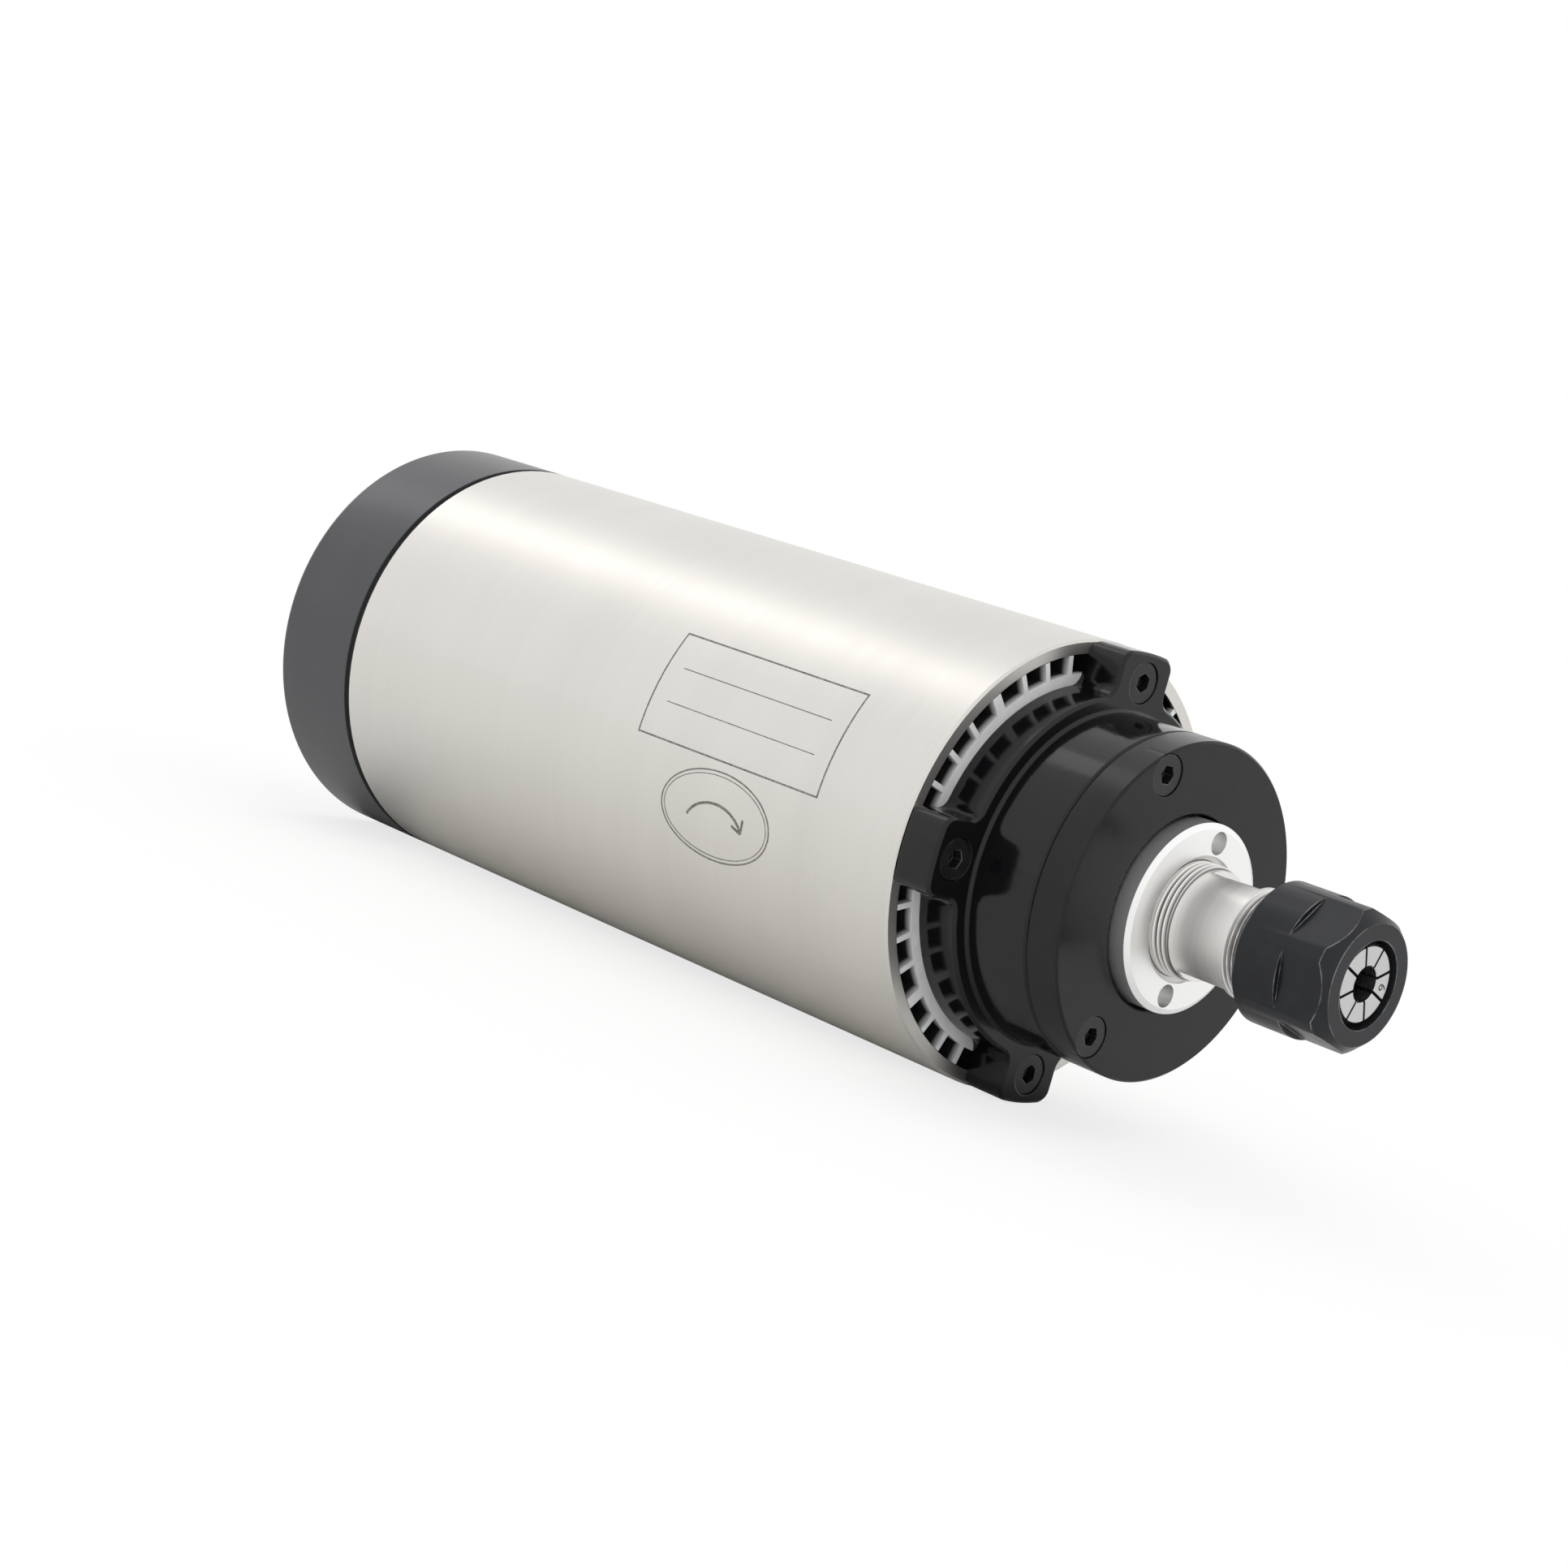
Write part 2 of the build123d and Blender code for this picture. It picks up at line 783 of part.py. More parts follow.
save(
    cap_screws(
        facing_rear(cap_rear),
        cap_screw_circle_radius,
        cap_screw_count,
        cap_screw_angle,
        screw_shank_diameter,
        screw_head_diameter,
        cap_screw_length,
    ),
    "rear_cap_screws",
)

# ---------------------------------------------------------------- seal between cap and sleeve
seal_outer = sleeve_outer - seal_inset
with BuildPart() as cap_seal_ring:
    revolve(band(cap_front, rear, seal_outer - seal_wall, seal_outer), axis=Axis.X)
save(cap_seal_ring.part, "cap_seal_ring")

# ---------------------------------------------------------------- shaft
lock_thread_radius = lock_thread_diameter / 2
front_seat_radius = front_bearing_bore / 2
rear_seat_radius = rear_bearing_bore / 2
head_radius = head_thread_diameter / 2
neck_radius = neck_diameter / 2
seat_mouth_radius = collet_taper_radius(shaft_face_x) + collet_clearance
seat_root_radius = collet_taper_radius(collet_rear_x) + collet_clearance
seat_root_x = collet_rear_x - seat_relief
front_shoulder_radius = front_shoulder_diameter / 2
rotor_seat_radius = rotor_shaft_diameter / 2
flat_depth = lock_thread_radius - wrench_width / 2
with BuildPart() as shaft:
    revolve(
        outline(
            (shaft_rear, 0),
            (shaft_face_x, 0),
            (shaft_face_x, head_radius - head_chamfer),
            (shaft_face_x - head_chamfer, head_radius),
            (front + neck_end, head_radius),
            (front + neck_end, neck_radius),
            (front + lock_thread_end, neck_radius),
            (front + lock_thread_end - head_chamfer, lock_thread_radius),
            (front_bearing_rear, front_seat_radius),
            (front_bearing_rear, front_shoulder_radius),
            (stack_front + end_ring_length + shoulder_taper_end, front_shoulder_radius),
            (stack_front + end_ring_length + shoulder_taper_start, rotor_seat_radius),
            (stack_rear - end_ring_length, rotor_seat_radius),
            (stack_rear - end_ring_length, rear_seat_shoulder_diameter / 2),
            (rear_bearing_front, rear_seat_shoulder_diameter / 2),
            (rear_bearing_front, rear_seat_radius),
            (fan_front, rear_seat_radius),
            (fan_front, fan_seat_diameter / 2),
            (shaft_rear, fan_seat_diameter / 2),
        ),
        axis=Axis.X,
    )
    revolve(
        outline(
            (shaft_face_x, 0),
            (shaft_face_x, seat_mouth_radius),
            (seat_root_x, seat_root_radius),
            (seat_root_x, tool_stop_bore / 2),
            (seat_root_x - tool_stop_depth, tool_stop_bore / 2),
            (seat_root_x - tool_stop_depth - tool_stop_cone, 0),
        ),
        axis=Axis.X,
        mode=Mode.SUBTRACT,
    )
    with BuildSketch(station(front + wrench_flat_start)):
        with PolarLocations(wrench_width / 2 + flat_depth / 2, 2, 90 - shaft_spin_angle):
            Rectangle(flat_depth, lock_thread_diameter)
    extrude(amount=wrench_flat_end - wrench_flat_start, mode=Mode.SUBTRACT)
    with Locations(facing_rear(shaft_rear)):
        Hole(fan_screw_diameter / 2 + tapped_clearance, depth=fan_screw_length)
save(shaft.part, "shaft")

# ---------------------------------------------------------------- rotor
rotor_bore = rotor_seat_radius + shaft_fit
with BuildPart() as rotor_core:
    revolve(band(stack_rear, stack_front, rotor_bore, rotor_diameter / 2), axis=Axis.X)
save(rotor_core.part, "rotor_core")

end_ring_outer = rotor_diameter / 2 - end_ring_step
end_ring_inner = rotor_seat_radius + end_ring_shaft_clearance
end_ring_middle = (end_ring_outer + end_ring_inner) / 2
with BuildPart() as rotor_end_rings:
    revolve(band(stack_front, stack_front + end_ring_length, end_ring_inner, end_ring_outer), axis=Axis.X)
    with BuildSketch(station(stack_front + end_ring_length)):
        with PolarLocations(end_ring_middle, end_ring_vanes):
            Rectangle(end_ring_vane_width, end_ring_vane_thickness)
    extrude(amount=end_ring_vane_length)
    revolve(band(stack_rear - end_ring_length, stack_rear, end_ring_inner, end_ring_outer), axis=Axis.X)
    with BuildSketch(station(stack_rear - end_ring_length)):
        with PolarLocations(end_ring_middle, end_ring_vanes):
            Rectangle(end_ring_vane_width, end_ring_vane_thickness)
    extrude(amount=-end_ring_vane_length)
save(rotor_end_rings.part, "rotor_end_rings")

# ---------------------------------------------------------------- round lock nut in front of the bearings
lock_rear_x = front_bearing_front + lock_ring_boss_height
lock_front_x = front + lock_ring_front
lock_boss_radius = front_seat_radius + race_thickness
lock_bore = lock_thread_radius + thread_clearance
with BuildPart() as shaft_lock_ring:
    revolve(
        outline(
            (front_bearing_front, lock_bore),
            (lock_front_x - lock_ring_bore_chamfer, lock_bore),
            (lock_front_x, lock_bore + lock_ring_bore_chamfer),
            (lock_front_x, lock_ring_radius - lock_ring_chamfer),
            (lock_front_x - lock_ring_chamfer_length, lock_ring_radius),
            (lock_rear_x, lock_ring_radius),
            (lock_rear_x, lock_boss_radius),
            (front_bearing_front, lock_boss_radius),
        ),
        axis=Axis.X,
    )
    with BuildSketch(station(lock_front_x)):
        with PolarLocations(spanner_hole_radius, spanner_hole_count, 90 - shaft_spin_angle):
            Circle(spanner_hole_diameter / 2)
    extrude(amount=-spanner_hole_depth, mode=Mode.SUBTRACT)
save(shaft_lock_ring.part, "shaft_lock_ring")

# ---------------------------------------------------------------- rear lock nut
with BuildPart() as rear_lock_nut:
    revolve(
        band(
            rear_nut_rear,
            rear_bearing_rear,
            rear_seat_radius + thread_clearance,
            rear_nut_diameter / 2,
        ),
        axis=Axis.X,
    )
    with BuildSketch(station(rear_nut_rear)):
        with PolarLocations(rear_nut_diameter / 2, rear_nut_slot_count):
            Rectangle(2 * rear_nut_slot_depth, rear_nut_slot_width)
    extrude(amount=rear_nut_width, mode=Mode.SUBTRACT)
save(rear_lock_nut.part, "rear_lock_nut")

# ---------------------------------------------------------------- cooling fan
fan_hub_radius = fan_hub_diameter / 2
fan_radius = cap_screw_circle_radius - post_radius - fan_post_gap
blade_length = fan_radius - fan_hub_radius
fan_disc_rear = fan_front - fan_disc_thickness
with BuildPart() as cooling_fan:
    with BuildSketch(station(fan_front)):
        Circle(fan_radius)
    extrude(amount=-fan_disc_thickness)
    with BuildSketch(station(fan_front)):
        Circle(fan_hub_radius)
    extrude(amount=-fan_hub_length)
    with BuildSketch(station(fan_disc_rear)):
        with PolarLocations(fan_hub_radius, fan_blade_count):
            with Locations(Location((0, 0, 0), fan_blade_lean)):
                Rectangle(blade_length, fan_blade_thickness, align=(Align.MIN, Align.CENTER))
        Circle(fan_radius, mode=Mode.INTERSECT)
    extrude(amount=-fan_blade_height)
    with BuildSketch(station(fan_front)):
        Circle(fan_seat_diameter / 2 + shaft_fit)
    extrude(amount=-fan_hub_length, mode=Mode.SUBTRACT)
save(cooling_fan.part, "cooling_fan")

with BuildPart() as fan_screw:
    with BuildSketch(station(fan_rear)):
        Circle(fan_screw_head_diameter / 2)
    extrude(amount=-fan_screw_head_height)
    chamfer(fan_screw.faces().sort_by(Axis.X)[0].edges(), fan_screw_head_chamfer)
    with BuildSketch(station(fan_rear)):
        Circle(fan_screw_diameter / 2)
    extrude(amount=fan_screw_length - fan_screw_end_gap)
    with BuildSketch(station(fan_rear - fan_screw_head_height)):
        RegularPolygon(fan_screw_socket_width / 2, 6, major_radius=False)
    extrude(amount=fan_screw_socket_depth, mode=Mode.SUBTRACT)
save(fan_screw.part, "fan_screw")

# ---------------------------------------------------------------- collet
collet_radius = collet_diameter / 2
face_radius = collet_face_diameter / 2
groove_radius = collet_groove_diameter / 2
tool_radius = tool_diameter / 2
with BuildPart() as collet:
    revolve(
        outline(
            (collet_rear_x, tool_radius),
            (collet_face_x, tool_radius),
            (collet_face_x, face_radius),
            (collar_front_x, collet_radius),
            (collar_rear_x, collet_radius),
            (collar_rear_x, groove_radius),
            (taper_front_x, groove_radius),
            (taper_front_x, collet_taper_radius(taper_front_x)),
            (collet_rear_x, collet_taper_radius(collet_rear_x)),
        ),
        axis=Axis.X,
    )
    with BuildSketch(station(collet_face_x)):
        with PolarLocations(collet_diameter / 2, collet_slot_count, collet_slot_angle):
            Rectangle(collet_diameter, collet_slot_width)
        Circle(tool_radius / 2, mode=Mode.SUBTRACT)
    extrude(amount=-(collet_length - collet_rear_land), mode=Mode.SUBTRACT)
save(collet.part, "collet")

# ---------------------------------------------------------------- collet nut
nut_radius = nut_diameter / 2
nut_bore = head_radius + thread_clearance
nut_lip_radius = nut_lip_bore / 2
nut_relief = nut_relief_diameter / 2
lip_front_x = collar_rear_x - collet_clearance
lip_rear_x = lip_front_x - nut_lip_width
collar_room = collet_radius + collet_clearance
cone_end_radius = nut_mouth_diameter / 2
cone_end_x = collar_front_x + (collar_room - cone_end_radius) / cone_slope
hex_rear_x = nut_face_x - nut_hex_length
with BuildPart() as collet_nut:
    with BuildSketch(station(nut_rear_x)):
        Circle(nut_radius)
    extrude(amount=nut_length - nut_hex_length)
    chamfer(collet_nut.faces().sort_by(Axis.X)[0].edges(), nut_rear_chamfer)
    with BuildSketch(station(hex_rear_x)):
        RegularPolygon(nut_hex_width / 2, 6, major_radius=False, rotation=nut_hex_angle)
        Circle(nut_radius, mode=Mode.INTERSECT)
    extrude(amount=nut_hex_length)
    with BuildSketch(Plane.XY):
        with BuildLine():
            Polyline(
                (nut_rear_x, 0),
                (nut_face_x, 0),
                (nut_face_x, nut_radius - nut_front_chamfer_height),
                (nut_face_x - nut_front_chamfer_length, nut_radius),
                (nut_rear_x, nut_radius),
                close=True,
            )
        make_face()
    revolve(axis=Axis.X, mode=Mode.INTERSECT)
    revolve(
        outline(
            (nut_rear_x, 0),
            (nut_rear_x, nut_bore + head_chamfer),
            (nut_rear_x + head_chamfer, nut_bore),
            (shaft_face_x - head_chamfer, nut_bore),
            (shaft_face_x - head_chamfer, nut_relief),
            (lip_rear_x, nut_relief),
            (lip_rear_x, nut_lip_radius),
            (lip_front_x, nut_lip_radius),
            (lip_front_x, collar_room),
            (collar_front_x, collar_room),
            (cone_end_x, cone_end_radius),
            (nut_face_x, cone_end_radius),
            (nut_face_x, 0),
        ),
        axis=Axis.X,
        mode=Mode.SUBTRACT,
    )
save(collet_nut.part, "collet_nut")

# ---------------------------------------------------------------- panel socket
socket_flange_rear = cap_rear - socket_flange_thickness
socket_rear = socket_flange_rear - socket_barrel_length
socket_inner_end = cap_rear + socket_inner_length
socket_cavity = socket_thread_radius - socket_wall
insert_face_x = socket_rear + insert_setback
with BuildPart() as socket_shell:
    revolve(
        outline(
            (socket_rear, socket_cavity),
            (socket_inner_end, socket_cavity),
            (socket_inner_end, socket_thread_radius),
            (cap_rear, socket_thread_radius),
            (cap_rear, socket_flange_diameter / 2),
            (socket_flange_rear, socket_flange_diameter / 2),
            (socket_flange_rear, socket_thread_radius),
            (socket_rear, socket_thread_radius),
        ),
        axis=Axis.X,
    )
    with BuildSketch(facing_rear(insert_face_x)):
        with Locations((0, socket_cavity)):
            Rectangle(socket_key_width, 2 * socket_key_height)
    extrude(amount=insert_setback - socket_key_setback)
save(socket_shell.part, "socket_shell")

with BuildPart() as socket_insert:
    with BuildSketch(station(insert_face_x)):
        Circle(socket_cavity - core_fit)
        with PolarLocations(pin_circle_radius, pin_count, pin_angle):
            Circle(pin_diameter / 2 + core_fit, mode=Mode.SUBTRACT)
    extrude(amount=socket_inner_end - insert_face_x)
save(socket_insert.part, "socket_insert")

pin_radius = pin_diameter / 2
with BuildPart() as socket_pins:
    with BuildSketch(station(socket_rear + pin_recess)):
        with PolarLocations(pin_circle_radius, pin_count, pin_angle):
            Circle(pin_radius)
    extrude(amount=socket_inner_end - socket_rear - pin_recess + pin_tail)
save(socket_pins.part, "socket_pins")

with BuildPart() as socket_nut:
    with BuildSketch(station(cap_floor)):
        RegularPolygon(socket_nut_width / 2, 6, major_radius=False)
        Circle(socket_thread_radius + thread_clearance, mode=Mode.SUBTRACT)
    extrude(amount=socket_nut_thickness)
save(socket_nut.part, "socket_nut")

# ---------------------------------------------------------------- cable plug
ring_front_x = socket_flange_rear - plug_ring_gap
ring_rear_x = ring_front_x - plug_ring_length
collar_rear = socket_rear - connector_clearance - plug_collar_width
plug_collar_radius = plug_collar_diameter / 2
plug_barrel_radius = plug_barrel_diameter / 2
plug_ring_radius = plug_ring_diameter / 2
lip_inner = plug_barrel_radius + connector_clearance
plug_rear = collar_rear - plug_barrel_length
plug_nose_radius = plug_nose_diameter / 2
plug_nose_front = socket_rear + plug_nose_length - plug_seat_gap
plug_neck_x = socket_rear - connector_clearance
with BuildPart() as plug_coupling_ring:
    revolve(
        outline(
            (ring_front_x, socket_thread_radius + thread_clearance),
            (ring_front_x, plug_ring_radius - plug_ring_front_chamfer),
            (ring_front_x - plug_ring_front_chamfer, plug_ring_radius),
            (ring_rear_x + plug_ring_rear_chamfer, plug_ring_radius),
            (ring_rear_x, plug_ring_radius - plug_ring_rear_chamfer),
            (ring_rear_x, lip_inner),
            (ring_rear_x + plug_ring_lip, lip_inner),
            (ring_rear_x + plug_ring_lip, socket_thread_radius + thread_clearance),
        ),
        axis=Axis.X,
    )
save(plug_coupling_ring.part, "plug_coupling_ring")

barrel_bore = plug_barrel_radius - plug_barrel_wall
clamp_middle = plug_rear - clamp_length / 2
saddle_plane = Plane(origin=(clamp_middle, 0, -clamp_gap / 2), z_dir=(0, 0, 1))
keyway_width = socket_key_width + 2 * connector_clearance
keyway_height = socket_key_height + connector_clearance
with BuildPart() as plug_shell:
    revolve(
        outline(
            (plug_nose_front, plug_nose_radius - plug_nose_wall),
            (plug_nose_front, plug_nose_radius),
            (plug_neck_x, plug_nose_radius),
            (plug_neck_x, plug_collar_radius),
            (collar_rear, plug_collar_radius),
            (collar_rear, plug_barrel_radius),
            (plug_rear + plug_edge_chamfer, plug_barrel_radius),
            (plug_rear, plug_barrel_radius - plug_edge_chamfer),
            (plug_rear, cable_bore / 2),
            (plug_rear + plug_end_wall, barrel_bore),
            (collar_rear, barrel_bore),
            (collar_rear, plug_nose_radius - plug_nose_wall),
        ),
        axis=Axis.X,
    )
    with BuildSketch(station(plug_rear)):
        Circle(plug_barrel_radius)
        Circle(cable_bore / 2, mode=Mode.SUBTRACT)
        with Locations((0, plug_barrel_radius - clamp_gap / 2)):
            Rectangle(plug_barrel_diameter, plug_barrel_diameter, mode=Mode.SUBTRACT)
    extrude(amount=-clamp_length)
    with BuildSketch(saddle_plane):
        with GridLocations(0, clamp_screw_spacing, 1, 2):
            Circle(clamp_screw_diameter / 2 + tapped_clearance)
    extrude(amount=-clamp_hole_depth, mode=Mode.SUBTRACT)
    with BuildSketch(facing_rear(plug_nose_front)):
        with Locations((0, socket_cavity)):
            Rectangle(keyway_width, 2 * keyway_height)
    extrude(amount=plug_nose_front - plug_neck_x, mode=Mode.SUBTRACT)
save(plug_shell.part, "plug_shell")

bar_plane = Plane(origin=(clamp_middle, 0, clamp_gap / 2), z_dir=(0, 0, 1))
with BuildPart() as plug_clamp_bar:
    with BuildSketch(station(plug_rear - clamp_end_gap)):
        Circle(plug_barrel_radius)
        Circle(cable_bore / 2, mode=Mode.SUBTRACT)
        with Locations((0, clamp_gap / 2 - plug_barrel_radius)):
            Rectangle(plug_barrel_diameter, plug_barrel_diameter, mode=Mode.SUBTRACT)
    extrude(amount=-(clamp_length - 2 * clamp_end_gap))
    with BuildSketch(bar_plane.offset(clamp_bar_thickness)):
        with GridLocations(0, clamp_screw_spacing, 1, 2):
            Circle(clamp_screw_head_diameter / 2 + head_clearance)
    extrude(amount=plug_barrel_radius, mode=Mode.SUBTRACT)
    with BuildSketch(bar_plane):
        with GridLocations(0, clamp_screw_spacing, 1, 2):
            Circle(clamp_screw_diameter / 2 + tapped_clearance)
    extrude(amount=plug_barrel_radius, mode=Mode.SUBTRACT)
save(plug_clamp_bar.part, "plug_clamp_bar")

with BuildPart() as plug_clamp_screws:
    with BuildSketch(bar_plane.offset(clamp_bar_thickness)):
        with GridLocations(0, clamp_screw_spacing, 1, 2):
            Circle(clamp_screw_head_diameter / 2)
    extrude(amount=clamp_screw_head_height)
    with BuildSketch(bar_plane.offset(clamp_bar_thickness)):
        with GridLocations(0, clamp_screw_spacing, 1, 2):
            Circle(clamp_screw_diameter / 2)
    extrude(amount=-(clamp_bar_thickness + clamp_gap + clamp_screw_grip))
    with BuildSketch(bar_plane.offset(clamp_bar_thickness + clamp_screw_head_height)):
        with GridLocations(0, clamp_screw_spacing, 1, 2):
            Rectangle(clamp_screw_slot_width, clamp_screw_head_diameter)
    extrude(amount=-clamp_screw_slot_depth, mode=Mode.SUBTRACT)
save(plug_clamp_screws.part, "plug_clamp_screws")

contact_radius = plug_contact_diameter / 2
plug_insert_front = plug_nose_front - plug_insert_setback
plug_contact_front = plug_insert_front - plug_contact_setback
plug_insert_radius = plug_nose_radius - plug_nose_wall - core_fit
with BuildPart() as plug_insert:
    with BuildSketch(station(plug_insert_front)):
        Circle(plug_insert_radius)
        with PolarLocations(pin_circle_radius, pin_count, pin_angle):
            Circle(contact_radius + core_fit, mode=Mode.SUBTRACT)
    extrude(amount=-plug_insert_length)
save(plug_insert.part, "plug_insert")

with BuildPart() as plug_contacts:
    with BuildSketch(station(plug_contact_front)):
        with PolarLocations(pin_circle_radius, pin_count, pin_angle):
            Circle(contact_radius)
    extrude(amount=-plug_contact_length)
    with BuildSketch(station(plug_contact_front)):
        with PolarLocations(pin_circle_radius, pin_count, pin_angle):
            Circle(pin_radius + connector_clearance)
    extrude(amount=-(plug_contact_length - plug_contact_solid_end), mode=Mode.SUBTRACT)
save(plug_contacts.part, "plug_contacts")
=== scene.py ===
# %% [markdown]
# # Air-cooled motor spindle: the looks
# The shapes and sizes of the spindle come from its CAD model, which is loaded here as a
# fixed frame. This lesson gives each part its real finish, cuts the threads and knurls
# that CAD leaves plain, and lights the spindle on a pale studio floor. The scene is in
# metres, and outlines are written in millimetres and scaled by MM. X runs along the
# spindle towards its nose and Z is up.

import json
import math

import bmesh
import bpy
import numpy as np
from mathutils import Matrix, Vector

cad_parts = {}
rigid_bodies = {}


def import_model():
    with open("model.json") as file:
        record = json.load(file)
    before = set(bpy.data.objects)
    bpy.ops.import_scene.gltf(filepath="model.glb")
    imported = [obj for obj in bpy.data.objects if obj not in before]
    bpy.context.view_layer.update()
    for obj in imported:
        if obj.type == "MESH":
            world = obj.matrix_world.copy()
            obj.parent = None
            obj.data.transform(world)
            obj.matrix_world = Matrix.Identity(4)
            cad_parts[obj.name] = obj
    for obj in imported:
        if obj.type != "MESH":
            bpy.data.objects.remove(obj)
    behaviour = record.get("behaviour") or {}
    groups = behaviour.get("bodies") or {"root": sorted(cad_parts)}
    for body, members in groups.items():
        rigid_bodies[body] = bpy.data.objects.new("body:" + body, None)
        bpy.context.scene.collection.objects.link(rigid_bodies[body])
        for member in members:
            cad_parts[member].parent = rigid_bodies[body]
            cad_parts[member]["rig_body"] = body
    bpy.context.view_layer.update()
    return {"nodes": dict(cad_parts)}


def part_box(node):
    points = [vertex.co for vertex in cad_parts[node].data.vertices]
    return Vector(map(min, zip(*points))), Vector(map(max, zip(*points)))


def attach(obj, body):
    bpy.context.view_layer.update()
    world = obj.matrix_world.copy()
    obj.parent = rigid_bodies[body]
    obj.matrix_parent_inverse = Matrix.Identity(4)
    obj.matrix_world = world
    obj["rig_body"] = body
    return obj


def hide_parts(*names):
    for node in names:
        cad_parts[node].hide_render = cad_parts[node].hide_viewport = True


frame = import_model()
MM = 0.001

# %% [markdown]
# ## Camera
# The spindle lies with its nose towards the lower right, seen from a little above. A
# camera could be aimed by a constraint, but a plain rotation matrix says exactly where it
# looks: azimuth and elevation give its side and height, and the roll tips the view, so
# that the spindle runs downhill across it.

# %% Place the camera
CAMERA_PLACE = Vector((0.40464, -0.42123, 0.05198))
CAMERA_AZIMUTH = math.radians(43.23)
CAMERA_ELEVATION = math.radians(5.425)
CAMERA_ROLL = math.radians(15.684)
CAMERA_LENS, SENSOR_WIDTH = 71.79, 36


def camera_axes(azimuth, elevation, roll):
    """Right, up and back directions of the camera.

    Back = (sin a cos e, -cos a cos e, sin e) points from the scene to the camera. Right
    and up stand square to it, level at first, and are then turned about it by the roll.
    """
    level = math.cos(elevation)
    back = Vector((math.sin(azimuth) * level, -math.cos(azimuth) * level, math.sin(elevation)))
    level_right = Vector((0, 0, 1)).cross(back).normalized()
    level_up = back.cross(level_right)
    right = level_right * math.cos(roll) + level_up * math.sin(roll)
    return right, back.cross(right), back


camera_data = bpy.data.cameras.new("camera")
camera_data.lens = CAMERA_LENS
camera_data.sensor_width = SENSOR_WIDTH
camera = bpy.data.objects.new("camera", camera_data)
bpy.context.scene.collection.objects.link(camera)
right, up, back = camera_axes(CAMERA_AZIMUTH, CAMERA_ELEVATION, CAMERA_ROLL)
turn = Matrix((right, up, back)).transposed().to_4x4()
camera.matrix_world = Matrix.Translation(CAMERA_PLACE) @ turn
bpy.context.scene.camera = camera
bpy.context.scene.view_settings.view_transform = "Standard"
print("camera looks along", [round(-c, 3) for c in back])

# %% [markdown]
# ## Materials from nodes
# A finish is a small tree of nodes that ends in one Principled shader. The trees could be
# drawn by hand in the shader editor, but most of them share the same few steps, so these
# steps are short methods here. Patterns are read from Object coordinates, which are the
# spindle's own X, Y and Z, so a line that runs round the sleeve is a pattern that changes
# along X and hardly at all along Y and Z.

# %% Helpers for node trees


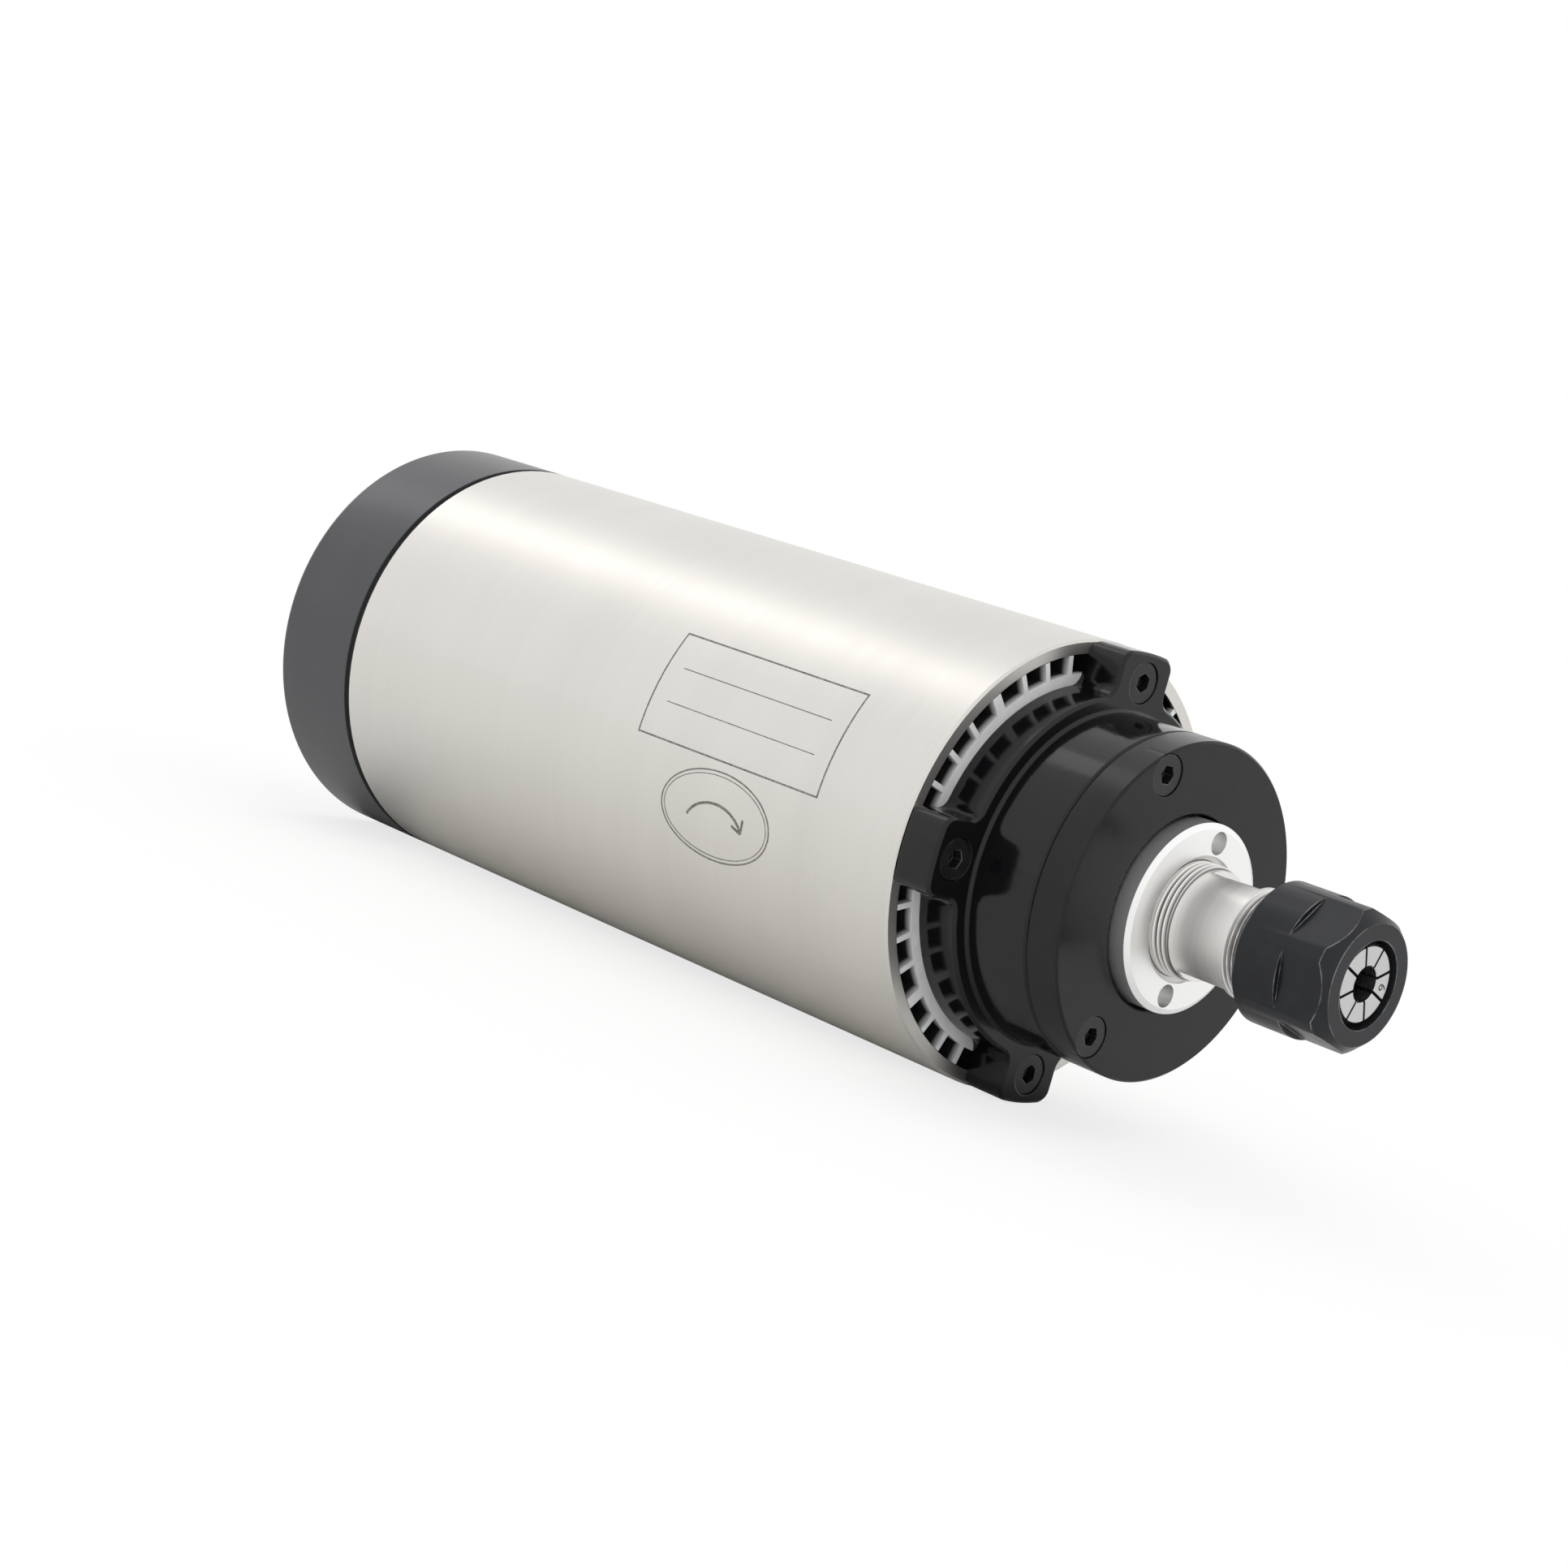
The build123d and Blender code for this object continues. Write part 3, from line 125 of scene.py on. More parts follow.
class Finish:
    """A material with one Principled shader, and short calls that add nodes to it."""

    def __init__(self, name, colour, metallic, roughness):
        self.material = bpy.data.materials.new(name + "_finish")
        self.material["slot"] = name
        self.material.use_nodes = True
        self.tree = self.material.node_tree
        self.tree.nodes.clear()
        output = self.tree.nodes.new("ShaderNodeOutputMaterial")
        self.shader = self.tree.nodes.new("ShaderNodeBsdfPrincipled")
        self.tree.links.new(self.shader.outputs[0], output.inputs[0])
        self.shader.inputs["Base Color"].default_value = (*colour, 1)
        self.shader.inputs["Metallic"].default_value = metallic
        self.shader.inputs["Roughness"].default_value = roughness
        self.place = self.tree.nodes.new("ShaderNodeTexCoord").outputs["Object"]

    def join(self, source, target):
        """Links a node's output to a socket."""
        self.tree.links.new(source, target)

    def math(self, operation, first, second=0.0, clamp=False):
        """One Math node. Each operand is a number or another node's output."""
        made = self.tree.nodes.new("ShaderNodeMath")
        made.operation, made.use_clamp = operation, clamp
        for socket, value in zip(made.inputs, (first, second)):
            if isinstance(value, (int, float)):
                socket.default_value = value
            else:
                self.join(value, socket)
        return made.outputs[0]

    def axis(self, name):
        """The X, Y or Z coordinate in metres."""
        split = self.tree.nodes.new("ShaderNodeSeparateXYZ")
        self.join(self.place, split.inputs[0])
        return split.outputs[name]

    def radius(self):
        """Distance from the X axis in metres: the length of (y, z)."""
        y, z = self.axis("Y"), self.axis("Z")
        squares = self.math("ADD", self.math("MULTIPLY", y, y), self.math("MULTIPLY", z, z))
        return self.math("SQRT", squares)

    def noise(self, scale, detail=2.0, rough=0.5):
        """Noise with three scales, in cycles per metre. Unequal scales stretch it into lines."""
        mapping = self.tree.nodes.new("ShaderNodeMapping")
        self.join(self.place, mapping.inputs["Vector"])
        mapping.inputs["Scale"].default_value = scale
        made = self.tree.nodes.new("ShaderNodeTexNoise")
        made.inputs["Scale"].default_value = 1.0
        made.inputs["Detail"].default_value = detail
        made.inputs["Roughness"].default_value = rough
        self.join(mapping.outputs[0], made.inputs["Vector"])
        return made.outputs["Fac"]

    def spread(self, value, low, high, to_low=0.0, to_high=1.0):
        """Maps a value from one range to another, held at its ends."""
        made = self.tree.nodes.new("ShaderNodeMapRange")
        self.join(value, made.inputs["Value"])
        numbers = {"From Min": low, "From Max": high, "To Min": to_low, "To Max": to_high}
        for name, number in numbers.items():
            made.inputs[name].default_value = number
        return made.outputs[0]

    def blend(self, share, first, second):
        """Colour that goes from the first to the second as share goes from 0 to 1."""
        made = self.tree.nodes.new("ShaderNodeMix")
        made.data_type = "RGBA"
        self.join(share, made.inputs[0])
        for socket, value in zip(made.inputs[6:8], (first, second)):
            if isinstance(value, tuple):
                socket.default_value = (*value, 1)
            else:
                self.join(value, socket)
        return made.outputs[2]

    def soft_edges(self, radius):
        """Rounds the shaded edges by this radius, as deburring does."""
        rounded = self.tree.nodes.new("ShaderNodeBevel")
        rounded.samples = 6
        rounded.inputs["Radius"].default_value = radius
        return rounded.outputs[0]

    def edge_mask(self, radius):
        """0 on open surfaces and up to 1 along edges: 1 - rounded normal . true normal."""
        true = self.tree.nodes.new("ShaderNodeNewGeometry")
        both = self.tree.nodes.new("ShaderNodeVectorMath")
        both.operation = "DOT_PRODUCT"
        self.join(self.soft_edges(radius), both.inputs[0])
        self.join(true.outputs["Normal"], both.inputs[1])
        return self.math("SUBTRACT", 1.0, both.outputs["Value"], clamp=True)

    def relief(self, height, distance, normal=None):
        """Bump from a height pattern, with its depth in metres."""
        made = self.tree.nodes.new("ShaderNodeBump")
        made.inputs["Distance"].default_value = distance
        made.inputs["Strength"].default_value = 1.0
        self.join(height, made.inputs["Height"])
        if normal is not None:
            self.join(normal, made.inputs["Normal"])
        self.join(made.outputs[0], self.shader.inputs["Normal"])

    def paint(self, colour, roughness=None):
        """Joins the colour, and the roughness if it varies, and gives the material."""
        self.join(colour, self.shader.inputs["Base Color"])
        if roughness is not None:
            self.join(roughness, self.shader.inputs["Roughness"])
        return self.material


def scaled(colour, factor):
    """The colour made lighter or darker by a factor."""
    return tuple(min(1.0, channel * factor) for channel in colour)


print("node helpers ready")

# %% [markdown]
# ## Turned metal
# The sleeve, shaft and rings were all turned or ground, which leaves fine lines round the
# axis. An anisotropic shader would stretch the highlight, but the real lines differ from
# each other: each is a little rougher or smoother and lighter or darker than the next. So
# two stretched noises give them: a fine one for single lines and a broad one for the
# bands that a worn tool leaves.

# %% Turned metal
# Colour of painted shade, blended in where a finish's dark function says.
PAINTED_SHADE = (0.02, 0.019, 0.018)


def turned_metal(name, colour, roughness, pitch, depth, bands, metallic=1.0, dark=None):
    """Metal with lines round the X axis.

    Pitch and depth of the lines are in metres. Bands is how far their colour swings. Dark
    is a function that gives where painted shade sits, from 0 to 1.
    """
    made = Finish(name, colour, metallic, roughness)
    lines = made.noise((1 / pitch, 22, 22), detail=3.0, rough=0.65)
    broad = made.noise((90, 14, 14), detail=3.0)
    mixed = made.math("ADD", made.math("MULTIPLY", lines, 0.5), made.math("MULTIPLY", broad, 0.5))
    swing = made.spread(mixed, 0.3, 0.7)
    tint = made.blend(swing, scaled(colour, 1 - bands), scaled(colour, 1 + bands))
    # Painted shade: the colour darkens towards this colour where dark gives 1.
    if dark is not None:
        tint = made.blend(dark(made), tint, PAINTED_SHADE)
    rough = made.spread(lines, 0.25, 0.75, roughness * 0.85, roughness * 1.15)
    made.relief(lines, depth, normal=made.soft_edges(0.00012))
    return made.paint(tint, rough)


print("turned metal ready")

# %% [markdown]
# ## Painted shade in hollows
# The wall inside the sleeve is seen through the air slots and is nearly black in shade,
# and the roots of the shaft's threads lie in shade too. Both get painted shade, a darker
# colour. Both places are known from the radius and from X, so a finish can find them
# without a painted mask.

# %% Painted shade inside the sleeve and in the thread roots
SLEEVE_BORE_FROM, SLEEVE_BORE_TO = 0.0384, 0.0388
SLEEVE_SHADE_FROM, SLEEVE_SHADE_TO = 0.0737, 0.0744
THREAD_ZONES = ((0.1050, 0.1086, 0.0100), (0.1197, 0.1326, 0.0095))
# Strength and depth range of the painted shade in the thread roots.
ROOT_SHADE, ROOT_DEEP, ROOT_SHALLOW = 0.85, 0.00045, 0.0001


def inside_sleeve(made):
    """Painted shade: 1 on the sleeve's inner wall, a little way in from its ends."""
    inner = made.spread(made.radius(), SLEEVE_BORE_FROM, SLEEVE_BORE_TO, 1.0, 0.0)
    along = made.math("ABSOLUTE", made.axis("X"))
    depth = made.spread(along, SLEEVE_SHADE_FROM, SLEEVE_SHADE_TO, 1.0, 0.0)
    return made.math("MULTIPLY", inner, depth)


def thread_roots(made):
    """Painted shade in the thread roots, up to a set share where the radius falls below the crest,
    inside each thread's zone.
    """
    x, radius = made.axis("X"), made.radius()
    roots = []
    for start, end, crest in THREAD_ZONES:
        past, short = made.math("GREATER_THAN", x, start), made.math("LESS_THAN", x, end)
        root = made.spread(radius, crest - ROOT_DEEP, crest - ROOT_SHALLOW, ROOT_SHADE, 0.0)
        roots.append(made.math("MULTIPLY", made.math("MULTIPLY", past, short), root))
    return made.math("MAXIMUM", *roots)


print("shaded zones:", 1 + len(THREAD_ZONES))

# %% Turned and ground finishes
sleeve_steel = turned_metal(
    "sleeve_steel", (0.72, 0.70, 0.665), 0.36, 0.0004, 0.0000012, 0.035, dark=inside_sleeve
)
ground_steel = turned_metal(
    "ground_steel", (0.90, 0.885, 0.86), 0.34, 0.0003, 0.000002, 0.08,
    metallic=0.95, dark=thread_roots,
)
nut_steel_bright = turned_metal(
    "nut_steel_bright", (0.98, 0.98, 0.975), 0.32, 0.0005, 0.000002, 0.02, metallic=0.90
)
collet_steel = turned_metal("collet_steel", (0.62, 0.62, 0.62), 0.26, 0.0003, 0.000001, 0.05)
bearing_steel = turned_metal("bearing_steel", (0.70, 0.70, 0.70), 0.18, 0.0004, 0.000001, 0.04)
connector_nickel = turned_metal(
    "connector_nickel", (0.72, 0.70, 0.67), 0.24, 0.0005, 0.000002, 0.06
)
contact_brass = turned_metal("contact_brass", (0.80, 0.58, 0.26), 0.25, 0.0004, 0.000001, 0.06)
print("turned finishes:", sum(m.name.endswith("_finish") for m in bpy.data.materials))

# %% [markdown]
# ## Black finishes
# The lugged housing is cast, filled and sprayed gloss black. Its paint is smooth but
# follows the slight waves of the casting, so reflections wander a little, and its edges
# carry a painted highlight, a slightly lighter colour. The flange cap, nut and screws are
# machined and blackened: duller, with cloudy oxide and with paler edges, partly bare
# metal where edges have rubbed and partly painted highlight. Edges are found by the
# Bevel node, whose rounded normal leaves the true one only near an edge. The studio's
# world is whiter than a workshop, so the blacks mirror it at a lower gloss level than
# paint and oxide have.

# %% Gloss paint


def gloss_paint(name, colour, roughness):
    """Gloss paint over a casting: long waves, a fine grain, and a painted highlight on the edges.
    """
    made = Finish(name, colour, 0.0, roughness)
    waves = made.noise((120, 120, 120))
    grain = made.noise((1800, 1800, 1800))
    height = made.math("ADD", waves, made.math("MULTIPLY", grain, 0.06))
    made.relief(height, 0.00006, normal=made.soft_edges(0.00035))
    # Painted highlight: the colour lightens along the edges.
    edge_highlight = made.spread(made.edge_mask(0.0003), 0.02, 0.4, 0.0, 0.7)
    rough = made.spread(grain, 0.3, 0.7, roughness * 0.8, roughness * 1.3)
    return made.paint(made.blend(edge_highlight, colour, scaled(colour, 3.5)), rough)


gloss_black = gloss_paint("gloss_black", (0.005, 0.005, 0.006), 0.12)
print("made", gloss_black.name)

# %% Blackened metal
# Colour of the pale edges: bare metal where rubbed, and painted highlight.
BARE_METAL_AND_HIGHLIGHT = (0.45, 0.45, 0.46)
OXIDE_LINE_PITCH = 0.0004


def blackened(name, colour, metallic, roughness, wear_and_highlight, full_wear_and_highlight=0.22):
    """Machined and blackened metal: turning lines, cloudy oxide, and paler edges, partly worn and
    partly painted highlight.

    The fifth argument is the share of pale colour on an edge, partly bare metal where it has rubbed
    and partly painted highlight, and the sixth is the value of the edge mask at which the coat is
    gone and that share is reached. The clouds make the pale edges patchy.
    """
    made = Finish(name, colour, metallic, roughness)
    lines = made.noise((1 / OXIDE_LINE_PITCH, 60, 60))
    clouds = made.noise((260, 260, 260), detail=4.0, rough=0.6)
    tint = made.blend(made.spread(clouds, 0.3, 0.7), scaled(colour, 0.8), scaled(colour, 1.25))
    # Paler edges: partly bare metal where rubbed, partly painted highlight.
    edges = made.spread(made.edge_mask(0.00025), full_wear_and_highlight * 0.1, full_wear_and_highlight, 0.0, wear_and_highlight)
    pale_edges = made.math("MULTIPLY", edges, made.spread(clouds, 0.42, 0.60, 0.15, 1.0))
    rough = made.spread(clouds, 0.3, 0.7, roughness * 0.85, roughness * 1.2)
    made.relief(lines, 0.000003, normal=made.soft_edges(0.0002))
    return made.paint(made.blend(pale_edges, tint, BARE_METAL_AND_HIGHLIGHT), rough)


satin_black = blackened("satin_black", (0.006, 0.006, 0.007), 0.0, 0.22, 0.10)
black_oxide_steel = blackened(
    "black_oxide_steel", (0.013, 0.014, 0.017), 0.08, 0.32, 0.7, full_wear_and_highlight=0.03
)
screw_steel = blackened("screw_steel", (0.016, 0.016, 0.017), 0.3, 0.28, 0.4, full_wear_and_highlight=0.10)
print("blackened:", satin_black.name, black_oxide_steel.name, screw_steel.name)

# %% How strongly the blacks mirror the white room
PAINT_GLOSS_LEVEL, OXIDE_GLOSS_LEVEL = 0.36, 0.31
GLOSS_LEVELS = {
    gloss_black: PAINT_GLOSS_LEVEL,
    satin_black: OXIDE_GLOSS_LEVEL,
    black_oxide_steel: OXIDE_GLOSS_LEVEL,
}
for black, level in GLOSS_LEVELS.items():
    shader = black.node_tree.nodes["Principled BSDF"]
    shader.inputs["Specular IOR Level"].default_value = level
print("gloss levels:", sorted(GLOSS_LEVELS.values()))

# %% [markdown]
# ## Coated, moulded and cast finishes
# The rear cap is powder coated, the fan and the connector's insulator are moulded, and
# the seal is rubber. All have a fine even grain with no direction, so one helper with an
# unstretched noise makes them, and only size and depth of the grain differ.

# %% Moulded finishes


def moulded(name, colour, roughness, grain_size, grain_depth, metallic=0.0):
    """Fine even grain, as on a powder coat, a moulding or rubber. Sizes are in metres."""
    made = Finish(name, colour, metallic, roughness)
    grain = made.noise((1 / grain_size,) * 3, detail=3.0, rough=0.6)
    clouds = made.noise((70, 70, 70), detail=3.0)
    tint = made.blend(made.spread(clouds, 0.3, 0.7), scaled(colour, 0.93), scaled(colour, 1.07))
    rough = made.spread(grain, 0.3, 0.7, roughness * 0.9, roughness * 1.1)
    made.relief(grain, grain_depth, normal=made.soft_edges(0.0002))
    return made.paint(tint, rough)


cap_grey = moulded("cap_grey", (0.050, 0.051, 0.057), 0.32, 0.0004, 0.000010)
black_rubber = moulded("black_rubber", (0.018, 0.018, 0.018), 0.75, 0.0006, 0.00002)
fan_plastic = moulded("fan_plastic", (0.030, 0.030, 0.031), 0.45, 0.0005, 0.00001)
connector_insulator = moulded(
    "connector_insulator", (0.030, 0.027, 0.024), 0.40, 0.0005, 0.000008
)
rotor_cage = moulded("rotor_cage", (0.62, 0.62, 0.62), 0.45, 0.0006, 0.00002, metallic=1.0)
spring_steel = moulded("spring_steel", (0.42, 0.42, 0.42), 0.35, 0.0006, 0.000006, metallic=1.0)
print("made", cap_grey.name, "and five more")

# %% [markdown]
# ## The finned core
# Only the front ends of the core's webs catch the light. A millimetre or two into each
# air slot the aluminium is dull and unlit, so its colour fades from bright to nearly
# black with the depth behind the front face: painted shade.

# %% Core aluminium
CORE_FACE_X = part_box("finned_core")[1].x
BRIGHT_DEPTH, DARK_DEPTH = 0.0003, 0.0016
SLOT_SHADE = (0.012, 0.012, 0.012)
core = Finish("core_aluminium", (0.92, 0.92, 0.92), 0.20, 0.40)
core_grain = core.noise((500, 500, 500), detail=3.0)
core_depth = core.spread(
    core.axis("X"), CORE_FACE_X - DARK_DEPTH, CORE_FACE_X - BRIGHT_DEPTH, 1.0, 0.0
)
core_tint = core.blend(core.spread(core_grain, 0.3, 0.7), (0.88, 0.88, 0.88), (0.97, 0.97, 0.97))
# Painted shade: the colour darkens with depth into the air slots.
core_tint = core.blend(core_depth, core_tint, SLOT_SHADE)
core.relief(core_grain, 0.00001, normal=core.soft_edges(0.00015))
core_aluminium = core.paint(core_tint, core.spread(core_depth, 0.0, 1.0, 0.45, 0.8))
print("core face at x =", round(CORE_FACE_X, 4))

# %% [markdown]
# ## Laminations and windings
# Stator and rotor are stacks of thin steel plates, and the windings are bundles of
# enamelled wire. Neither shows from outside, but both are there when the part is taken
# apart. A noise squeezed along X gives the plates' edges, and one squeezed across X gives
# wires that run along the slots.

# %% Plates and wires
plates = Finish("lamination_steel", (0.26, 0.25, 0.25), 0.8, 0.5)
plate_lines = plates.noise((2000, 8, 8), detail=1.0)
plates.relief(plate_lines, 0.00003)
lamination_steel = plates.paint(
    plates.blend(plates.spread(plate_lines, 0.4, 0.6), (0.18, 0.175, 0.17), (0.32, 0.31, 0.31))
)

wires = Finish("copper_winding", (0.66, 0.26, 0.10), 0.85, 0.3)
wire_lines = wires.noise((60, 1400, 1400))
wires.relief(wire_lines, 0.0002)
copper_winding = wires.paint(
    wires.blend(wires.spread(wire_lines, 0.35, 0.65), (0.34, 0.11, 0.04), (0.74, 0.32, 0.13))
)
print("made", lamination_steel.name, copper_winding.name)

# %% [markdown]
# ## Dressing the CAD nodes
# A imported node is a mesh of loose, flat triangles, which would show as facets on a
# shining cylinder. A node's own mesh is never changed, so each node is copied, its
# doubled points are merged, and its faces are shaded smooth except across real edges. The
# copy then stands for the node.

# %% Shade and place a mesh
CREASE_ANGLE = math.radians(28)
END_ON = 0.9999


def faces_end_on(face):
    """True for a flat end face, square to the spindle's axis."""
    return abs(face.normal.x) > END_ON


def shade(mesh):
    """Smooth faces, sharp across every crease and round every flat end face."""
    work = bmesh.new()
    work.from_mesh(mesh)
    for edge in work.edges:
        sides = {faces_end_on(face) for face in edge.link_faces}
        edge.smooth = len(sides) == 1 and edge.calc_face_angle(math.pi) < CREASE_ANGLE
    for face in work.faces:
        face.smooth = True
    work.to_mesh(mesh)
    work.free()


def link(mesh, name, finish, body):
    """Makes an object of the mesh, with its finish, riding on a CAD body.

    Its corner normals lean towards the largest face at each point, so that flat faces
    stay flat up to their rounded edges.
    """
    made = bpy.data.objects.new(name, mesh)
    bpy.context.scene.collection.objects.link(made)
    mesh.materials.clear()
    mesh.materials.append(finish)
    flat_faces = made.modifiers.new("flat_faces", "WEIGHTED_NORMAL")
    flat_faces.weight = 100
    flat_faces.keep_sharp = True
    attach(made, body)
    return made


print("creases start at", round(math.degrees(CREASE_ANGLE)), "degrees")

# %% Copy and merge a node
MERGE_DISTANCE = 0.000002


def dress(node, finish, name):
    """A merged, smooth copy of a CAD node that stands for it."""
    source = frame["nodes"][node]
    work = bmesh.new()
    work.from_mesh(source.data)
    bmesh.ops.remove_doubles(work, verts=work.verts, dist=MERGE_DISTANCE)
    mesh = bpy.data.meshes.new(name)
    work.to_mesh(mesh)
    work.free()
    shade(mesh)
    made = link(mesh, name, finish, source["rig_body"])
    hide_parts(node)
    return made


NODE_FINISH = {
    "outer_sleeve": sleeve_steel,
    "finned_core": core_aluminium,
    "front_bearing_housing": gloss_black,
    "lug_screws": screw_steel,
    "front_flange_cap": satin_black,
    "flange_screws": screw_steel,
    "front_bearing_outer_rings": bearing_steel,
    "front_bearing_inner_rings": bearing_steel,
    "rear_bearing_outer_rings": bearing_steel,
    "rear_bearing_inner_rings": bearing_steel,
    "rear_bearing_housing": core_aluminium,
    "rear_housing_screws": screw_steel,
    "preload_wave_spring": spring_steel,
    "stator_core": lamination_steel,
    "stator_windings": copper_winding,
    "rotor_core": lamination_steel,
    "rotor_end_rings": rotor_cage,
    "rear_cap": cap_grey,
    "rear_cap_screws": screw_steel,
    "cap_seal_ring": black_rubber,
    "shaft_lock_ring": nut_steel_bright,
    "rear_lock_nut": screw_steel,
    "cooling_fan": fan_plastic,
    "fan_screw": screw_steel,
    "collet_nut": black_oxide_steel,
    "socket_shell": connector_nickel,
    "socket_insert": connector_insulator,
    "socket_pins": contact_brass,
    "socket_nut": connector_nickel,
    "plug_shell": connector_nickel,
    "plug_insert": connector_insulator,
    "plug_contacts": contact_brass,
    "plug_clamp_bar": connector_nickel,
    "plug_clamp_screws": connector_nickel,
}
dressed = {node: dress(node, finish, node + "_piece") for node, finish in NODE_FINISH.items()}
print("dressed", len(dressed), "nodes")

# %% [markdown]
# ## Surfaces turned about the axis
# The shaft and the plug's coupling ring are turned parts with something cut into them. A
# boolean could cut it, but each is also just one surface of two parameters: a row along
# the profile and an angle round the axis. The radius of each point may depend on both,
# which is how a thread, a flat or a knurl is cut here.

# %% Turned surfaces from a grid of radii


def from_arrays(name, points, faces):
    """A shaded mesh of an array of points and a list of faces."""
    mesh = bpy.data.meshes.new(name)
    mesh.from_pydata(points.tolist(), [], faces)
    mesh.update()
    shade(mesh)
    return mesh


def turned_surface(name, stations, radii, angles):
    """Closed surface of revolution with cuts.

    Point (i, j) is (x_i, r_ij cos a_j, r_ij sin a_j). The first and last rows have no
    radius, so each becomes one point, and the rows between are joined by quads.
    """
    rings, around = radii.shape[0] - 2, len(angles)
    x = np.repeat(stations[1:-1, None], around, axis=1)
    y, z = radii[1:-1] * np.cos(angles), radii[1:-1] * np.sin(angles)
    ring_points = np.stack([x, y, z], axis=-1).reshape(-1, 3)
    ends = np.array([[stations[0], 0, 0], [stations[-1], 0, 0]])
    index = np.arange(rings * around).reshape(rings, around)
    ahead = np.roll(index, -1, axis=1)
    quads = np.stack([index[:-1], ahead[:-1], ahead[1:], index[1:]], axis=-1).reshape(-1, 4)
    first_fan = np.stack([np.full(around, rings * around), ahead[0], index[0]], axis=-1)
    last_fan = np.stack([np.full(around, rings * around + 1), index[-1], ahead[-1]], axis=-1)
    faces = quads.tolist() + first_fan.tolist() + last_fan.tolist()
    return from_arrays(name, np.concatenate([ring_points, ends]), faces)


def closed_tube(name, stations, radii, angles):
    """Tube whose profile is a closed loop.

    Point (i, j) is (x_i, r_ij cos a_j, r_ij sin a_j), and the grid is joined end to end
    both round the axis and along the profile.
    """
    x = np.repeat(stations[:, None], len(angles), axis=1)
    y, z = radii * np.cos(angles), radii * np.sin(angles)
    points = np.stack([x, y, z], axis=-1).reshape(-1, 3)
    index = np.arange(radii.size).reshape(radii.shape)
    ahead, after = np.roll(index, -1, axis=1), np.roll(index, -1, axis=0)
    quads = np.stack([index, ahead, np.roll(after, -1, axis=1), after], axis=-1)
    return from_arrays(name, points, quads.reshape(-1, 4).tolist())


print("turned surfaces ready")

# %% [markdown]
# ## Shaft
# The shaft's nose shows three turned zones: a thread for the lock ring, a plain neck with
# two wrench flats, and the thread for the collet nut. Inside, a taper takes the collet.
# The profile runs from the bottom of the fan's screw hole, out over the whole shaft,
# round the front face and down the taper to the end of the bore. Each thread gets twelve
# rows to a turn, which is enough for its crest and root. Both ends of the flats are
# listed twice, so that the flats can start and stop with a step.

# %% Shaft profile
NOSE = 74.5
SHAFT_REAR, HOLE_BOTTOM, HOLE_RADIUS = -84.5, -72.5, 2.6
LOCK_THREAD_START, LOCK_THREAD_END = NOSE + 31.0, NOSE + 34.1
HEAD_THREAD_START, HEAD_THREAD_END = NOSE + 45.2, NOSE + 58.0
FLAT_START, FLAT_END = NOSE + 35.0, NOSE + 44.4
SHAFT_FACE = NOSE + 58.6
NECK_RADIUS, LOCK_RADIUS, HEAD_RADIUS = 9.45, 10.0, 9.5
THREAD_PITCH, THREAD_DEPTH = 1.0, 0.45
ROW_STEP = THREAD_PITCH / 12

shaft_rear = [
    (HOLE_BOTTOM, 0), (HOLE_BOTTOM, HOLE_RADIUS), (SHAFT_REAR, HOLE_RADIUS), (SHAFT_REAR, 4.7),
    (SHAFT_REAR + 0.3, 5), (-76.5, 5), (-76.5, 7.2), (-76.2, 7.5), (-54, 7.5), (-54, 9),
    (-39.5, 9), (-39.5, 11), (54.5, 11), (56.5, 12), (70.5, 12), (70.5, 10),
]
lock_x = np.arange(LOCK_THREAD_START, LOCK_THREAD_END - 0.29, ROW_STEP)
head_x = np.arange(HEAD_THREAD_START, HEAD_THREAD_END + 0.01, ROW_STEP)
lock_rows = [(x, LOCK_RADIUS) for x in lock_x]
head_rows = [(x, HEAD_RADIUS) for x in head_x]
neck = [
    (LOCK_THREAD_END, NECK_RADIUS), (LOCK_THREAD_END + 0.1, NECK_RADIUS), (FLAT_START, NECK_RADIUS),
    (FLAT_START, NECK_RADIUS), (FLAT_END, NECK_RADIUS), (FLAT_END, NECK_RADIUS),
    (HEAD_THREAD_START - 0.1, NECK_RADIUS), (HEAD_THREAD_START - 0.01, NECK_RADIUS),
]
shaft_nose = [
    (SHAFT_FACE, 8.9), (SHAFT_FACE, 8.507), (112.3, 5.724), (112.3, 4), (94.3, 4), (92.3, 0),
]
profile = np.array(shaft_rear + lock_rows + neck + head_rows + shaft_nose)
x_rows, r_rows = profile[:, 0], profile[:, 1]
print("shaft profile rows:", len(profile))

# %% Cut the threads and the wrench flats
FLAT_HALF, FLAT_ANGLE = 8.5, math.radians(85)
FADE_LENGTH, WAVE_HEIGHT = 0.4 * THREAD_PITCH, 1.15
SHAFT_ANGLE_COUNT = 180


def thread_depth(x, angles, start, end):
    """How far a thread cuts in.

    Its depth follows a triangle wave of x / pitch - a / turn, so that the groove climbs
    one pitch in each turn. The wave is a little too high and is cut off at the full
    depth, which makes the root flat, and it fades in and out at the thread's ends.
    """
    phase = (x[:, None] / THREAD_PITCH - angles[None, :] / (2 * math.pi)) % 1.0
    wave = 1 - np.abs(2 * phase - 1)
    fade = np.clip(np.minimum(x - start, end - x) / FADE_LENGTH, 0, 1)
    return THREAD_DEPTH * np.clip(wave * WAVE_HEIGHT, 0, 1) * fade[:, None]


